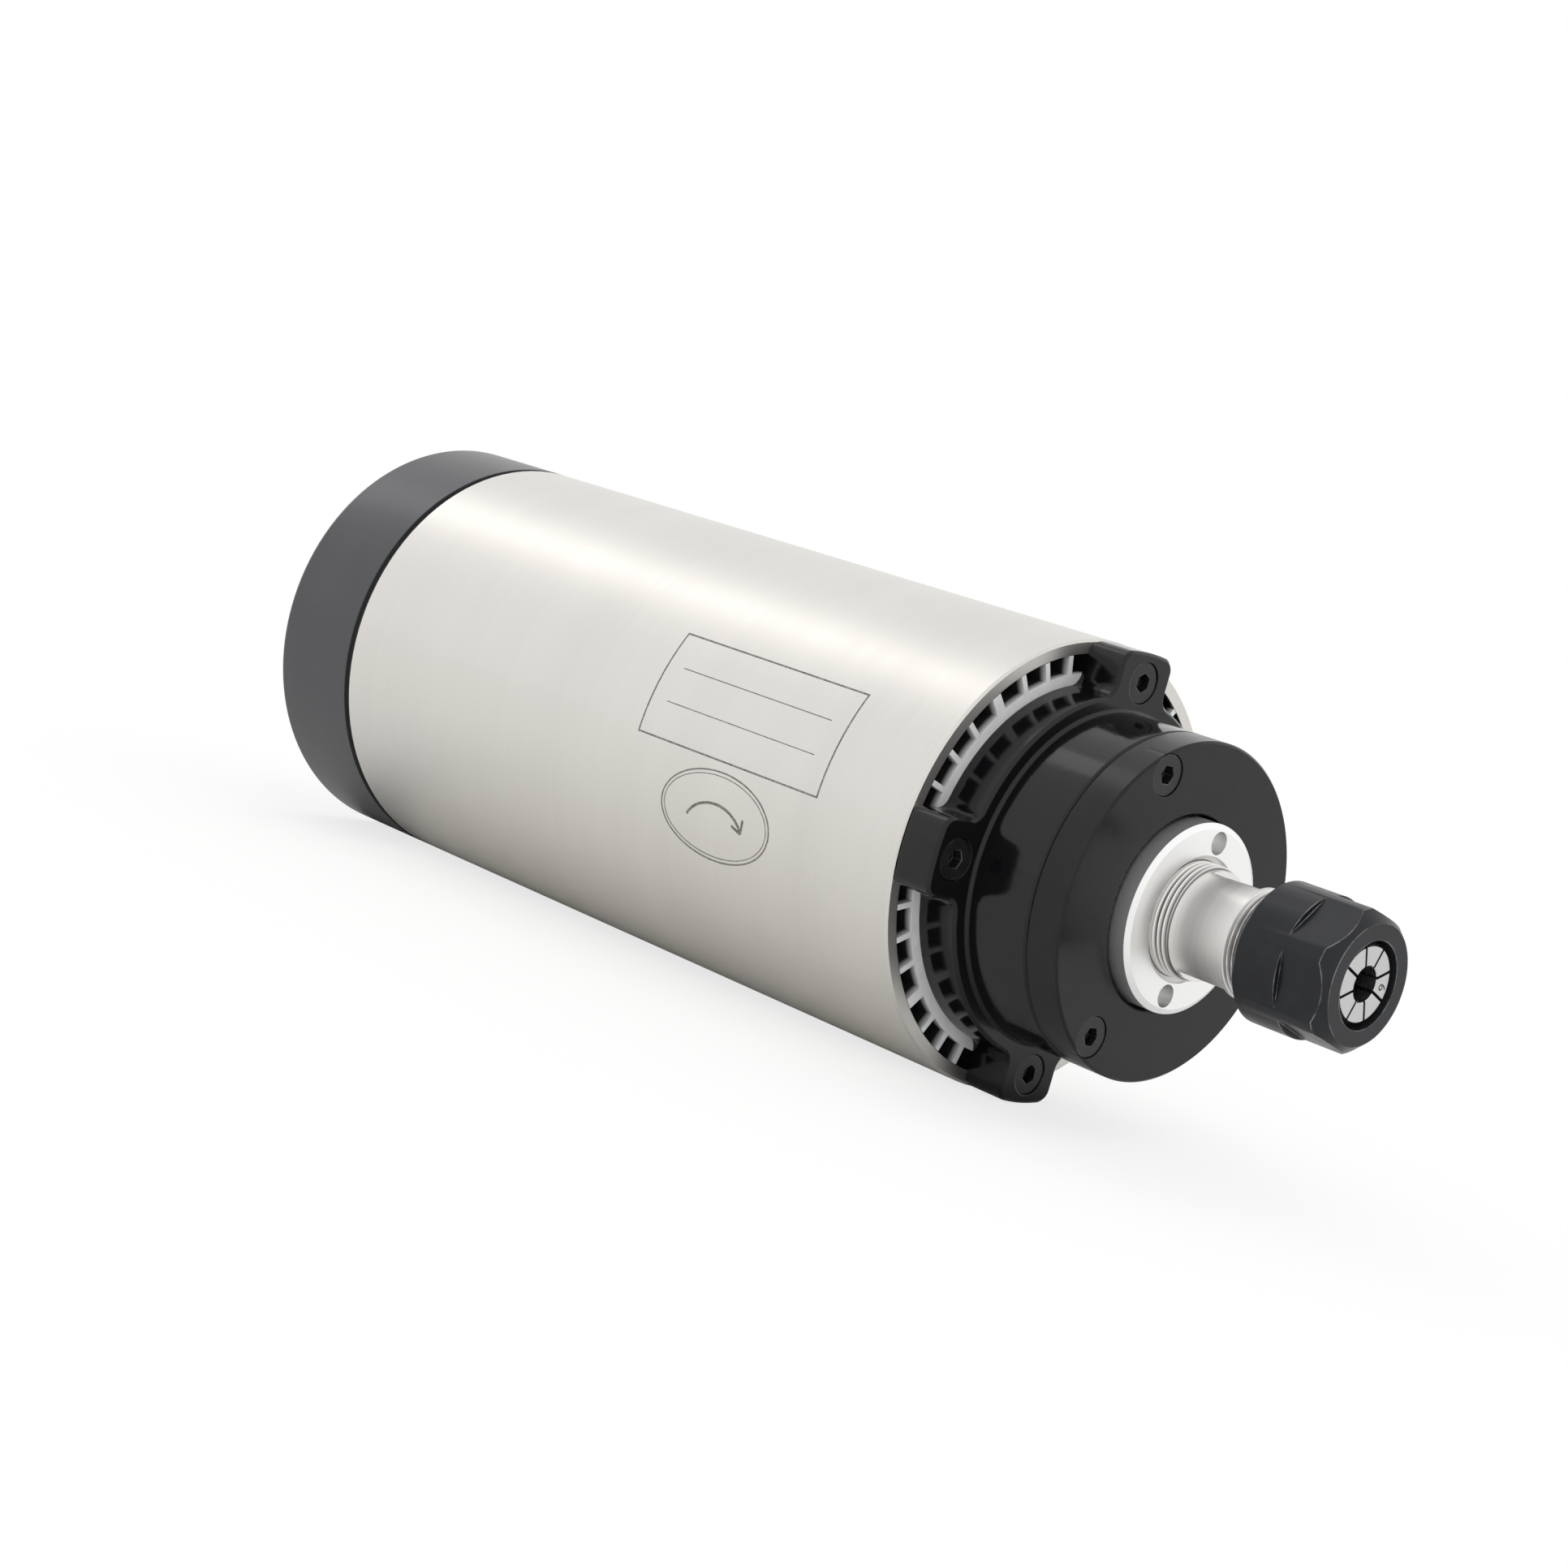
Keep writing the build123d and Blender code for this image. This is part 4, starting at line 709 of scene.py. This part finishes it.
flat_edge = math.acos(FLAT_HALF / NECK_RADIUS)
flat_corners = [FLAT_ANGLE + side * flat_edge + half for side in (-1, 1) for half in (0, math.pi)]
even_angles = np.linspace(0, 2 * math.pi, SHAFT_ANGLE_COUNT, endpoint=False)
shaft_angles = np.union1d(even_angles, np.mod(flat_corners, 2 * math.pi))
radii = np.repeat(r_rows[:, None], len(shaft_angles), axis=1)
for start, end, crest in (
    (LOCK_THREAD_START, LOCK_THREAD_END, LOCK_RADIUS),
    (HEAD_THREAD_START, HEAD_THREAD_END, HEAD_RADIUS),
):
    radii -= thread_depth(x_rows, shaft_angles, start, end) * (r_rows == crest)[:, None]
first_flat_row = len(shaft_rear) + len(lock_rows) + 3
flat_rows = slice(first_flat_row, first_flat_row + 2)
flat_radius = FLAT_HALF / np.maximum(np.abs(np.cos(shaft_angles - FLAT_ANGLE)), 0.2)
radii[flat_rows] = np.minimum(radii[flat_rows], flat_radius[None, :])
shaft_mesh = turned_surface("shaft_piece", x_rows * MM, radii * MM, shaft_angles)
shaft_piece = link(shaft_mesh, "shaft_piece", ground_steel, "rotor")
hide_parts("shaft")
print("shaft faces:", len(shaft_mesh.polygons))

# %% [markdown]
# ## Coupling ring of the plug
# The ring is gripped by hand, so it is knurled. A straight knurl is a ripple of the
# radius round the ring that stops short of both ends of the grip. Six angles to each
# ridge keep it round without many faces.

# %% Knurled coupling ring
ring_low, ring_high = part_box("plug_coupling_ring")
RING_FRONT, RING_REAR, RING_RADIUS = ring_high.x / MM, ring_low.x / MM, ring_high.z / MM
RING_BORE, RING_LIP, RING_LIP_BORE = 8.0, 3.0, 7.15
KNURL_COUNT, KNURL_DEPTH = 60, 0.28
KNURL_START, KNURL_END = RING_REAR + 2.2, RING_FRONT - 1.6
ring_profile = np.array(
    [
        (RING_FRONT, RING_BORE), (RING_FRONT, RING_RADIUS - 0.4), (RING_FRONT - 0.4, RING_RADIUS),
        (KNURL_END, RING_RADIUS), (KNURL_END - 0.4, RING_RADIUS), (KNURL_START + 0.4, RING_RADIUS),
        (KNURL_START, RING_RADIUS), (RING_REAR + 1.2, RING_RADIUS), (RING_REAR, RING_RADIUS - 1.2),
        (RING_REAR, RING_LIP_BORE), (RING_REAR + RING_LIP, RING_LIP_BORE),
        (RING_REAR + RING_LIP, RING_BORE),
    ]
)[::-1]
ring_x, ring_r = ring_profile[:, 0], ring_profile[:, 1]
ring_angles = np.linspace(0, 2 * math.pi, KNURL_COUNT * 6, endpoint=False)
ripple = KNURL_DEPTH * (0.5 - 0.5 * np.cos(KNURL_COUNT * ring_angles))
in_grip = (ring_x > KNURL_START + 0.1) & (ring_x < KNURL_END - 0.1) & (ring_r == RING_RADIUS)
ring_radii = ring_r[:, None] - ripple[None, :] * in_grip[:, None]
ring_mesh = closed_tube("coupling_ring_piece", ring_x * MM, ring_radii * MM, ring_angles)
ring_piece = link(ring_mesh, "coupling_ring_piece", connector_nickel, "coupling_ring")
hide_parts("plug_coupling_ring")
print("coupling ring faces:", len(ring_mesh.polygons))

# %% [markdown]
# ## Marks on the sleeve
# The real sleeve carries a laser-marked box and an oval. Here the box is ruled but blank,
# and the oval holds a plain arrow that shows which way the shaft turns. A laser mark has
# almost no depth, so each line is a very thin strip that lies on the sleeve: a path in
# (x, arc length), given a width to both sides and wrapped round the sleeve. Cutting the
# lines into the sleeve's mesh would cost far more faces for the same look.

# %% Strips on the sleeve
SLEEVE_RADIUS = 40.0
MARK_LIFT = 0.012
mark = Finish("laser_mark", (0.20, 0.185, 0.165), 0.6, 0.55)
mark_grain = mark.noise((2500, 2500, 2500), detail=3.0)
laser_mark = mark.paint(
    mark.blend(mark.spread(mark_grain, 0.35, 0.65), (0.13, 0.12, 0.11), (0.33, 0.31, 0.29))
)


def on_sleeve(flat):
    """Wraps (x, s) in mm round the sleeve, where s over the radius is the angle."""
    radius = SLEEVE_RADIUS + MARK_LIFT
    angle = flat[..., 1] / SLEEVE_RADIUS
    return np.stack([flat[..., 0], radius * np.cos(angle), radius * np.sin(angle)], axis=-1) * MM


def strip(path, width, closed=False):
    """Points and quads of a strip along a path of (x, arc length) in mm.

    Each path point p becomes p + n w / 2 and p - n w / 2, where n stands square to the
    way from the point before to the point after.
    """
    if closed:
        ahead = np.roll(path, -1, axis=0) - np.roll(path, 1, axis=0)
    else:
        ahead = np.gradient(path, axis=0)
    side = np.stack([-ahead[:, 1], ahead[:, 0]], axis=1)
    side /= np.linalg.norm(side, axis=1)[:, None]
    points = on_sleeve(np.stack([path + side * width / 2, path - side * width / 2], axis=1))
    index = np.arange(len(path) * 2).reshape(-1, 2)
    after = np.roll(index, -1, axis=0)
    quads = np.stack([index[:, 0], after[:, 0], after[:, 1], index[:, 1]], axis=1)
    return points.reshape(-1, 3), quads if closed else quads[:-1]


def facing_out(points, quads):
    """The quads, reversed where their normal (b - a) x (c - a) looks at the axis."""
    a, b, c = (points[quads[:, corner]] for corner in range(3))
    away = points[quads].mean(axis=1) * (0, 1, 1)
    inward = (np.cross(b - a, c - a) * away).sum(axis=1) < 0
    return np.where(inward[:, None], quads[:, ::-1], quads)


def marks(name, strips):
    """One mesh of several strips, riding on the housing."""
    starts = np.cumsum([0] + [len(points) for points, quads in strips])
    points = np.concatenate([points for points, quads in strips])
    quads = np.concatenate([quads + start for (_, quads), start in zip(strips, starts)])
    mesh = bpy.data.meshes.new(name)
    mesh.from_pydata(points.tolist(), [], facing_out(points, quads).tolist())
    mesh.update()
    return link(mesh, name, laser_mark, "housing")


def straight(start, end, count=24):
    """Evenly spaced points (1 - t) start + t end."""
    share = np.linspace(0, 1, count)[:, None]
    return np.array([start]) * (1 - share) + np.array([end]) * share


print("made", laser_mark.name)

# %% Ruled box
BOX_START, BOX_END = 8.85, 54.2
BOX_TOP, BOX_BOTTOM = (math.radians(angle) * SLEEVE_RADIUS for angle in (148.9, 176.95))
BORDER_WIDTH, RULE_WIDTH, RULE_INSET = 0.32, 0.18, 4
corner = BORDER_WIDTH / 2
borders = [
    ((BOX_START - corner, BOX_TOP), (BOX_END + corner, BOX_TOP)),
    ((BOX_START - corner, BOX_BOTTOM), (BOX_END + corner, BOX_BOTTOM)),
    ((BOX_START, BOX_TOP), (BOX_START, BOX_BOTTOM)),
    ((BOX_END, BOX_TOP), (BOX_END, BOX_BOTTOM)),
]
rule_heights = [BOX_TOP + (BOX_BOTTOM - BOX_TOP) / 3 * row for row in (1, 2)]
rules = [((BOX_START + RULE_INSET, s), (BOX_END - RULE_INSET, s)) for s in rule_heights]
rating_box = marks(
    "rating_box",
    [strip(straight(*line), BORDER_WIDTH) for line in borders]
    + [strip(straight(*line), RULE_WIDTH) for line in rules],
)
print("marked", rating_box.name)

# %% Oval with the turning arrow
OVAL_MIDDLE = np.array([31.8, math.radians(190.7) * SLEEVE_RADIUS])
OVAL_HALF_SIZE = np.array([13.6, 7.8])
ARROW_RADII, ARROW_DROP = np.array([7.28, 5.2]), np.array([0, 3])
OVAL_WIDTH, INNER_WIDTH, INNER_INSET = 0.28, 0.16, 0.7
ARROW_WIDTH, BARB_LENGTH, BARB_SPREAD = 0.5, 2.0, 1.5


def arc(middle, radii, angles):
    """Points middle + (a cos t, b sin t)."""
    return middle + radii * np.stack([np.cos(angles), np.sin(angles)], axis=1)


full_turn = np.linspace(0, 2 * math.pi, 96, endpoint=False)
arrow_sweep = np.linspace(math.radians(200), math.radians(340), 40)
arrow_path = arc(OVAL_MIDDLE + ARROW_DROP, ARROW_RADII, arrow_sweep)
tip, before_tip = arrow_path[-1], arrow_path[-4]
along = (tip - before_tip) / np.linalg.norm(tip - before_tip)
across = np.array([-along[1], along[0]])
barbs = [tip - along * BARB_LENGTH + across * side * BARB_SPREAD for side in (-1, 1)]
turn_mark = marks(
    "turn_direction_mark",
    [
        strip(arc(OVAL_MIDDLE, OVAL_HALF_SIZE, full_turn), OVAL_WIDTH, closed=True),
        strip(arc(OVAL_MIDDLE, OVAL_HALF_SIZE - INNER_INSET, full_turn), INNER_WIDTH, closed=True),
        strip(arrow_path, ARROW_WIDTH),
        strip(straight(barbs[0], tip, 6), ARROW_WIDTH),
        strip(straight(barbs[1], tip, 6), ARROW_WIDTH),
    ],
)
print("marked", turn_mark.name)

# %% [markdown]
# ## Collet
# A spring collet is a tapered sleeve sawn into eight jaws that stay joined at the back.
# Each jaw is the same profile carried round 45 degrees, less half a saw cut at each side.
# The cut has parallel sides, so the angle it takes is wider near the bore.

# %% Collet profiles
COLLET_FACE_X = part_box("collet")[1].x / MM
COLLET_REAR_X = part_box("collet")[0].x / MM
TOOL_RADIUS, LAND_LENGTH, EDGE = 3.0, 5.0, 0.15
CONE_RADIUS, FACE_RADIUS, GROOVE_RADIUS, REAR_RADIUS = 8.5, 6.4, 7.6, 5.624
NOSE_ANGLE, TAPER_ANGLE = math.radians(30), math.radians(8)
CONE_FRONT = COLLET_FACE_X - (CONE_RADIUS - FACE_RADIUS) / math.tan(NOSE_ANGLE)
GROOVE_FRONT, GROOVE_REAR = CONE_FRONT - 1.4, CONE_FRONT - 3.4
LAND_FRONT = COLLET_REAR_X + LAND_LENGTH
LAND_RADIUS = REAR_RADIUS + LAND_LENGTH * math.tan(TAPER_ANGLE)
jaw_profile = np.array(
    [
        (COLLET_FACE_X - EDGE, TOOL_RADIUS), (COLLET_FACE_X, TOOL_RADIUS + EDGE),
        (COLLET_FACE_X, FACE_RADIUS - EDGE), (COLLET_FACE_X - EDGE, FACE_RADIUS),
        (CONE_FRONT, CONE_RADIUS), (GROOVE_FRONT, CONE_RADIUS), (GROOVE_FRONT, GROOVE_RADIUS),
        (GROOVE_REAR, GROOVE_RADIUS), (GROOVE_REAR, CONE_RADIUS), (LAND_FRONT, LAND_RADIUS),
        (LAND_FRONT, TOOL_RADIUS),
    ]
)[::-1]
land_profile = np.array(
    [
        (LAND_FRONT, TOOL_RADIUS), (LAND_FRONT, LAND_RADIUS),
        (COLLET_REAR_X, REAR_RADIUS), (COLLET_REAR_X, TOOL_RADIUS),
    ]
)[::-1]
print("collet from", round(COLLET_REAR_X, 2), "to", round(COLLET_FACE_X, 2), "mm")

# %% Jaws and rear land
JAW_COUNT, FIRST_CUT, CUT_WIDTH = 8, math.radians(24), 0.5
STEPS_PER_JAW, LAND_STEPS = 9, 96


def jaws(loop):
    """Points, quads and flat sides of the closed jaws.

    Point (k, i, j) has the loop's x and r at the angle
    a = first + k turn + h + (turn - 2 h) j / steps, where turn is one jaw's share of the
    circle and h = asin(cut / 2r) is half a saw cut.
    """
    one_jaw = 2 * math.pi / JAW_COUNT
    half_cut = np.arcsin(CUT_WIDTH / 2 / loop[:, 1])[None, :, None]
    sweep = np.linspace(0, 1, STEPS_PER_JAW + 1)[None, None, :]
    start = FIRST_CUT + one_jaw * np.arange(JAW_COUNT)[:, None, None]
    angle = start + half_cut + (one_jaw - 2 * half_cut) * sweep
    x = np.broadcast_to(loop[:, 0][None, :, None], angle.shape)
    radius = np.broadcast_to(loop[:, 1][None, :, None], angle.shape)
    points = np.stack([x, radius * np.cos(angle), radius * np.sin(angle)], axis=-1)
    index = np.arange(angle.size).reshape(angle.shape)
    after = np.roll(index, -1, axis=1)
    quads = np.stack([index[..., :-1], index[..., 1:], after[..., 1:], after[..., :-1]], axis=-1)
    sides = index[:, ::-1, 0].tolist() + index[:, :, -1].tolist()
    return points.reshape(-1, 3) * MM, quads.reshape(-1, 4).tolist(), sides


jaw_points, jaw_quads, jaw_sides = jaws(jaw_profile)
land_angles = np.linspace(0, 2 * math.pi, LAND_STEPS, endpoint=False)
land_radii = np.repeat(land_profile[:, 1:] * MM, LAND_STEPS, axis=1)
land_mesh = closed_tube("collet_land", land_profile[:, 0] * MM, land_radii, land_angles)
collet_mesh = from_arrays("collet_piece", jaw_points, jaw_quads + jaw_sides)
joined = bmesh.new()
joined.from_mesh(collet_mesh)
joined.from_mesh(land_mesh)
bmesh.ops.recalc_face_normals(joined, faces=joined.faces)
joined.to_mesh(collet_mesh)
joined.free()
shade(collet_mesh)
collet_piece = link(collet_mesh, "collet_piece", collet_steel, "tool_collet")
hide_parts("collet")
print("collet faces:", len(collet_mesh.polygons))

# %% [markdown]
# ## Size figure on the collet
# A collet carries its bore in figures on its face. The figure is a text curve made into
# a mesh before it is placed, because an exported piece has its place in its mesh. It is
# turned to lie on the front face between two slots, with its head outwards.

# %% Figure 6 on the collet face
FIGURE_RADIUS, FIGURE_ANGLE, FIGURE_SIZE, FIGURE_LIFT = 4.8, math.radians(-1.5), 2.7, 0.01
text = bpy.data.curves.new("collet_size", "FONT")
text.body = "6"
text.size = FIGURE_SIZE * MM
text.align_x = text.align_y = "CENTER"
text_object = bpy.data.objects.new("collet_size_curve", text)
bpy.context.scene.collection.objects.link(text_object)
bpy.context.view_layer.update()
figure_mesh = bpy.data.meshes.new_from_object(text_object)
bpy.data.objects.remove(text_object)
figure_normal = Vector((1, 0, 0))
figure_up = Vector((0, math.cos(FIGURE_ANGLE), math.sin(FIGURE_ANGLE)))
figure_turn = Matrix((figure_up.cross(figure_normal), figure_up, figure_normal)).transposed()
figure_place = (figure_normal * (COLLET_FACE_X + FIGURE_LIFT) + figure_up * FIGURE_RADIUS) * MM
figure_mesh.transform(Matrix.Translation(figure_place) @ figure_turn.to_4x4())
stamp = Finish("stamped_figure", (0.035, 0.03, 0.026), 0.3, 0.5)
stamp_grain = stamp.noise((3000, 3000, 3000))
stamped = stamp.paint(stamp.blend(stamp_grain, (0.02, 0.018, 0.016), (0.08, 0.07, 0.06)))
figure = link(figure_mesh, "collet_size_figure", stamped, "tool_collet")
print("placed", figure.name, "at x =", round(COLLET_FACE_X + FIGURE_LIFT, 2), "mm")

# %% [markdown]
# ## Floor and world
# The floor is pale and keeps the spindle's shadow. Towards the camera it is lifted to
# white, and so is the world, so that the ground is plain. The lift uses the Light Path
# node instead of stronger lamps, because more light would bleach the sleeve. The world
# that metal mirrors is the same white that the camera sees.

# %% Pale floor
FLOOR_Z, FLOOR_HALF = -0.0401, 3.0
FLOOR_COLOUR, FLOOR_LIFT, LIFT_WHITE = (0.92, 0.92, 0.91, 1), 0.72, 1.05
floor_mesh = bpy.data.meshes.new("floor")
corner_signs = ((-1, -1), (1, -1), (1, 1), (-1, 1))
floor_corners = [(x * FLOOR_HALF, y * FLOOR_HALF, FLOOR_Z) for x, y in corner_signs]
floor_mesh.from_pydata(floor_corners, [], [(0, 1, 2, 3)])
floor = bpy.data.objects.new("floor", floor_mesh)
bpy.context.scene.collection.objects.link(floor)

floor_material = bpy.data.materials.new("pale_floor")
floor_material.use_nodes = True
tree = floor_material.node_tree
tree.nodes.clear()
pale = tree.nodes.new("ShaderNodeBsdfDiffuse")
pale.inputs["Color"].default_value = FLOOR_COLOUR
white = tree.nodes.new("ShaderNodeEmission")
white.inputs["Strength"].default_value = LIFT_WHITE
floor_path = tree.nodes.new("ShaderNodeLightPath")
lift = tree.nodes.new("ShaderNodeMath")
lift.operation = "MULTIPLY"
lift.inputs[1].default_value = FLOOR_LIFT
floor_mix = tree.nodes.new("ShaderNodeMixShader")
floor_out = tree.nodes.new("ShaderNodeOutputMaterial")
tree.links.new(floor_path.outputs["Is Camera Ray"], lift.inputs[0])
tree.links.new(lift.outputs[0], floor_mix.inputs[0])
tree.links.new(pale.outputs[0], floor_mix.inputs[1])
tree.links.new(white.outputs[0], floor_mix.inputs[2])
tree.links.new(floor_mix.outputs[0], floor_out.inputs[0])
floor_mesh.materials.append(floor_material)
print("floor at z =", FLOOR_Z)

# %% White world
WORLD_SHOWN, WORLD_LIGHT = 1.0, 0.95
world = bpy.data.worlds.new("studio")
bpy.context.scene.world = world
world.use_nodes = True
sky = world.node_tree
sky.nodes.clear()
sky_path = sky.nodes.new("ShaderNodeLightPath")
seen = sky_path.outputs["Is Camera Ray"]
for ray in ("Is Glossy Ray", "Is Transmission Ray"):
    either = sky.nodes.new("ShaderNodeMath")
    either.operation = "MAXIMUM"
    sky.links.new(seen, either.inputs[0])
    sky.links.new(sky_path.outputs[ray], either.inputs[1])
    seen = either.outputs[0]
world_mix = sky.nodes.new("ShaderNodeMixShader")
world_out = sky.nodes.new("ShaderNodeOutputWorld")
for socket, strength in ((1, WORLD_LIGHT), (2, WORLD_SHOWN)):
    background = sky.nodes.new("ShaderNodeBackground")
    background.inputs["Color"].default_value = (1, 1, 1, 1)
    background.inputs["Strength"].default_value = strength
    sky.links.new(background.outputs[0], world_mix.inputs[socket])
sky.links.new(seen, world_mix.inputs[0])
sky.links.new(world_mix.outputs[0], world_out.inputs[0])
print("world shows", WORLD_SHOWN, "and lights", WORLD_LIGHT)

# %% [markdown]
# ## Lamp
# One wide lamp hangs behind and above, and gives the long bright band on the sleeve. Its
# width sets the width of the band. A lamp's strength in watts says little about how
# bright it looks in a mirror, so it is worked out from the radiance.

# %% Overhead lamp
LAMP_PLACE, LAMP_AIM, LAMP_ALONG = (-0.70, -0.12, 0.72), (-0.1, 0, 0), (1, 0, 0)
LAMP_LENGTH, LAMP_WIDTH, LAMP_RADIANCE = 1.1, 0.22, 0.9


def lamp(name, place, aim, along, length, width, radiance):
    """A rectangular lamp aimed at a point, its long side towards along.

    Its power is pi times its area times its radiance.
    """
    data = bpy.data.lights.new(name, "AREA")
    data.shape = "RECTANGLE"
    data.size, data.size_y = length, width
    data.energy = math.pi * length * width * radiance
    made = bpy.data.objects.new(name, data)
    bpy.context.scene.collection.objects.link(made)
    away = (Vector(place) - Vector(aim)).normalized()
    side = away.cross(Vector(along)).normalized()
    turned = Matrix((side.cross(away), side, away)).transposed().to_4x4()
    made.matrix_world = Matrix.Translation(place) @ turned
    made.visible_camera = False
    return made


overhead = lamp(
    "overhead", LAMP_PLACE, LAMP_AIM, LAMP_ALONG, LAMP_LENGTH, LAMP_WIDTH, LAMP_RADIANCE
)
print("lamp power in watts:", round(overhead.data.energy, 3))
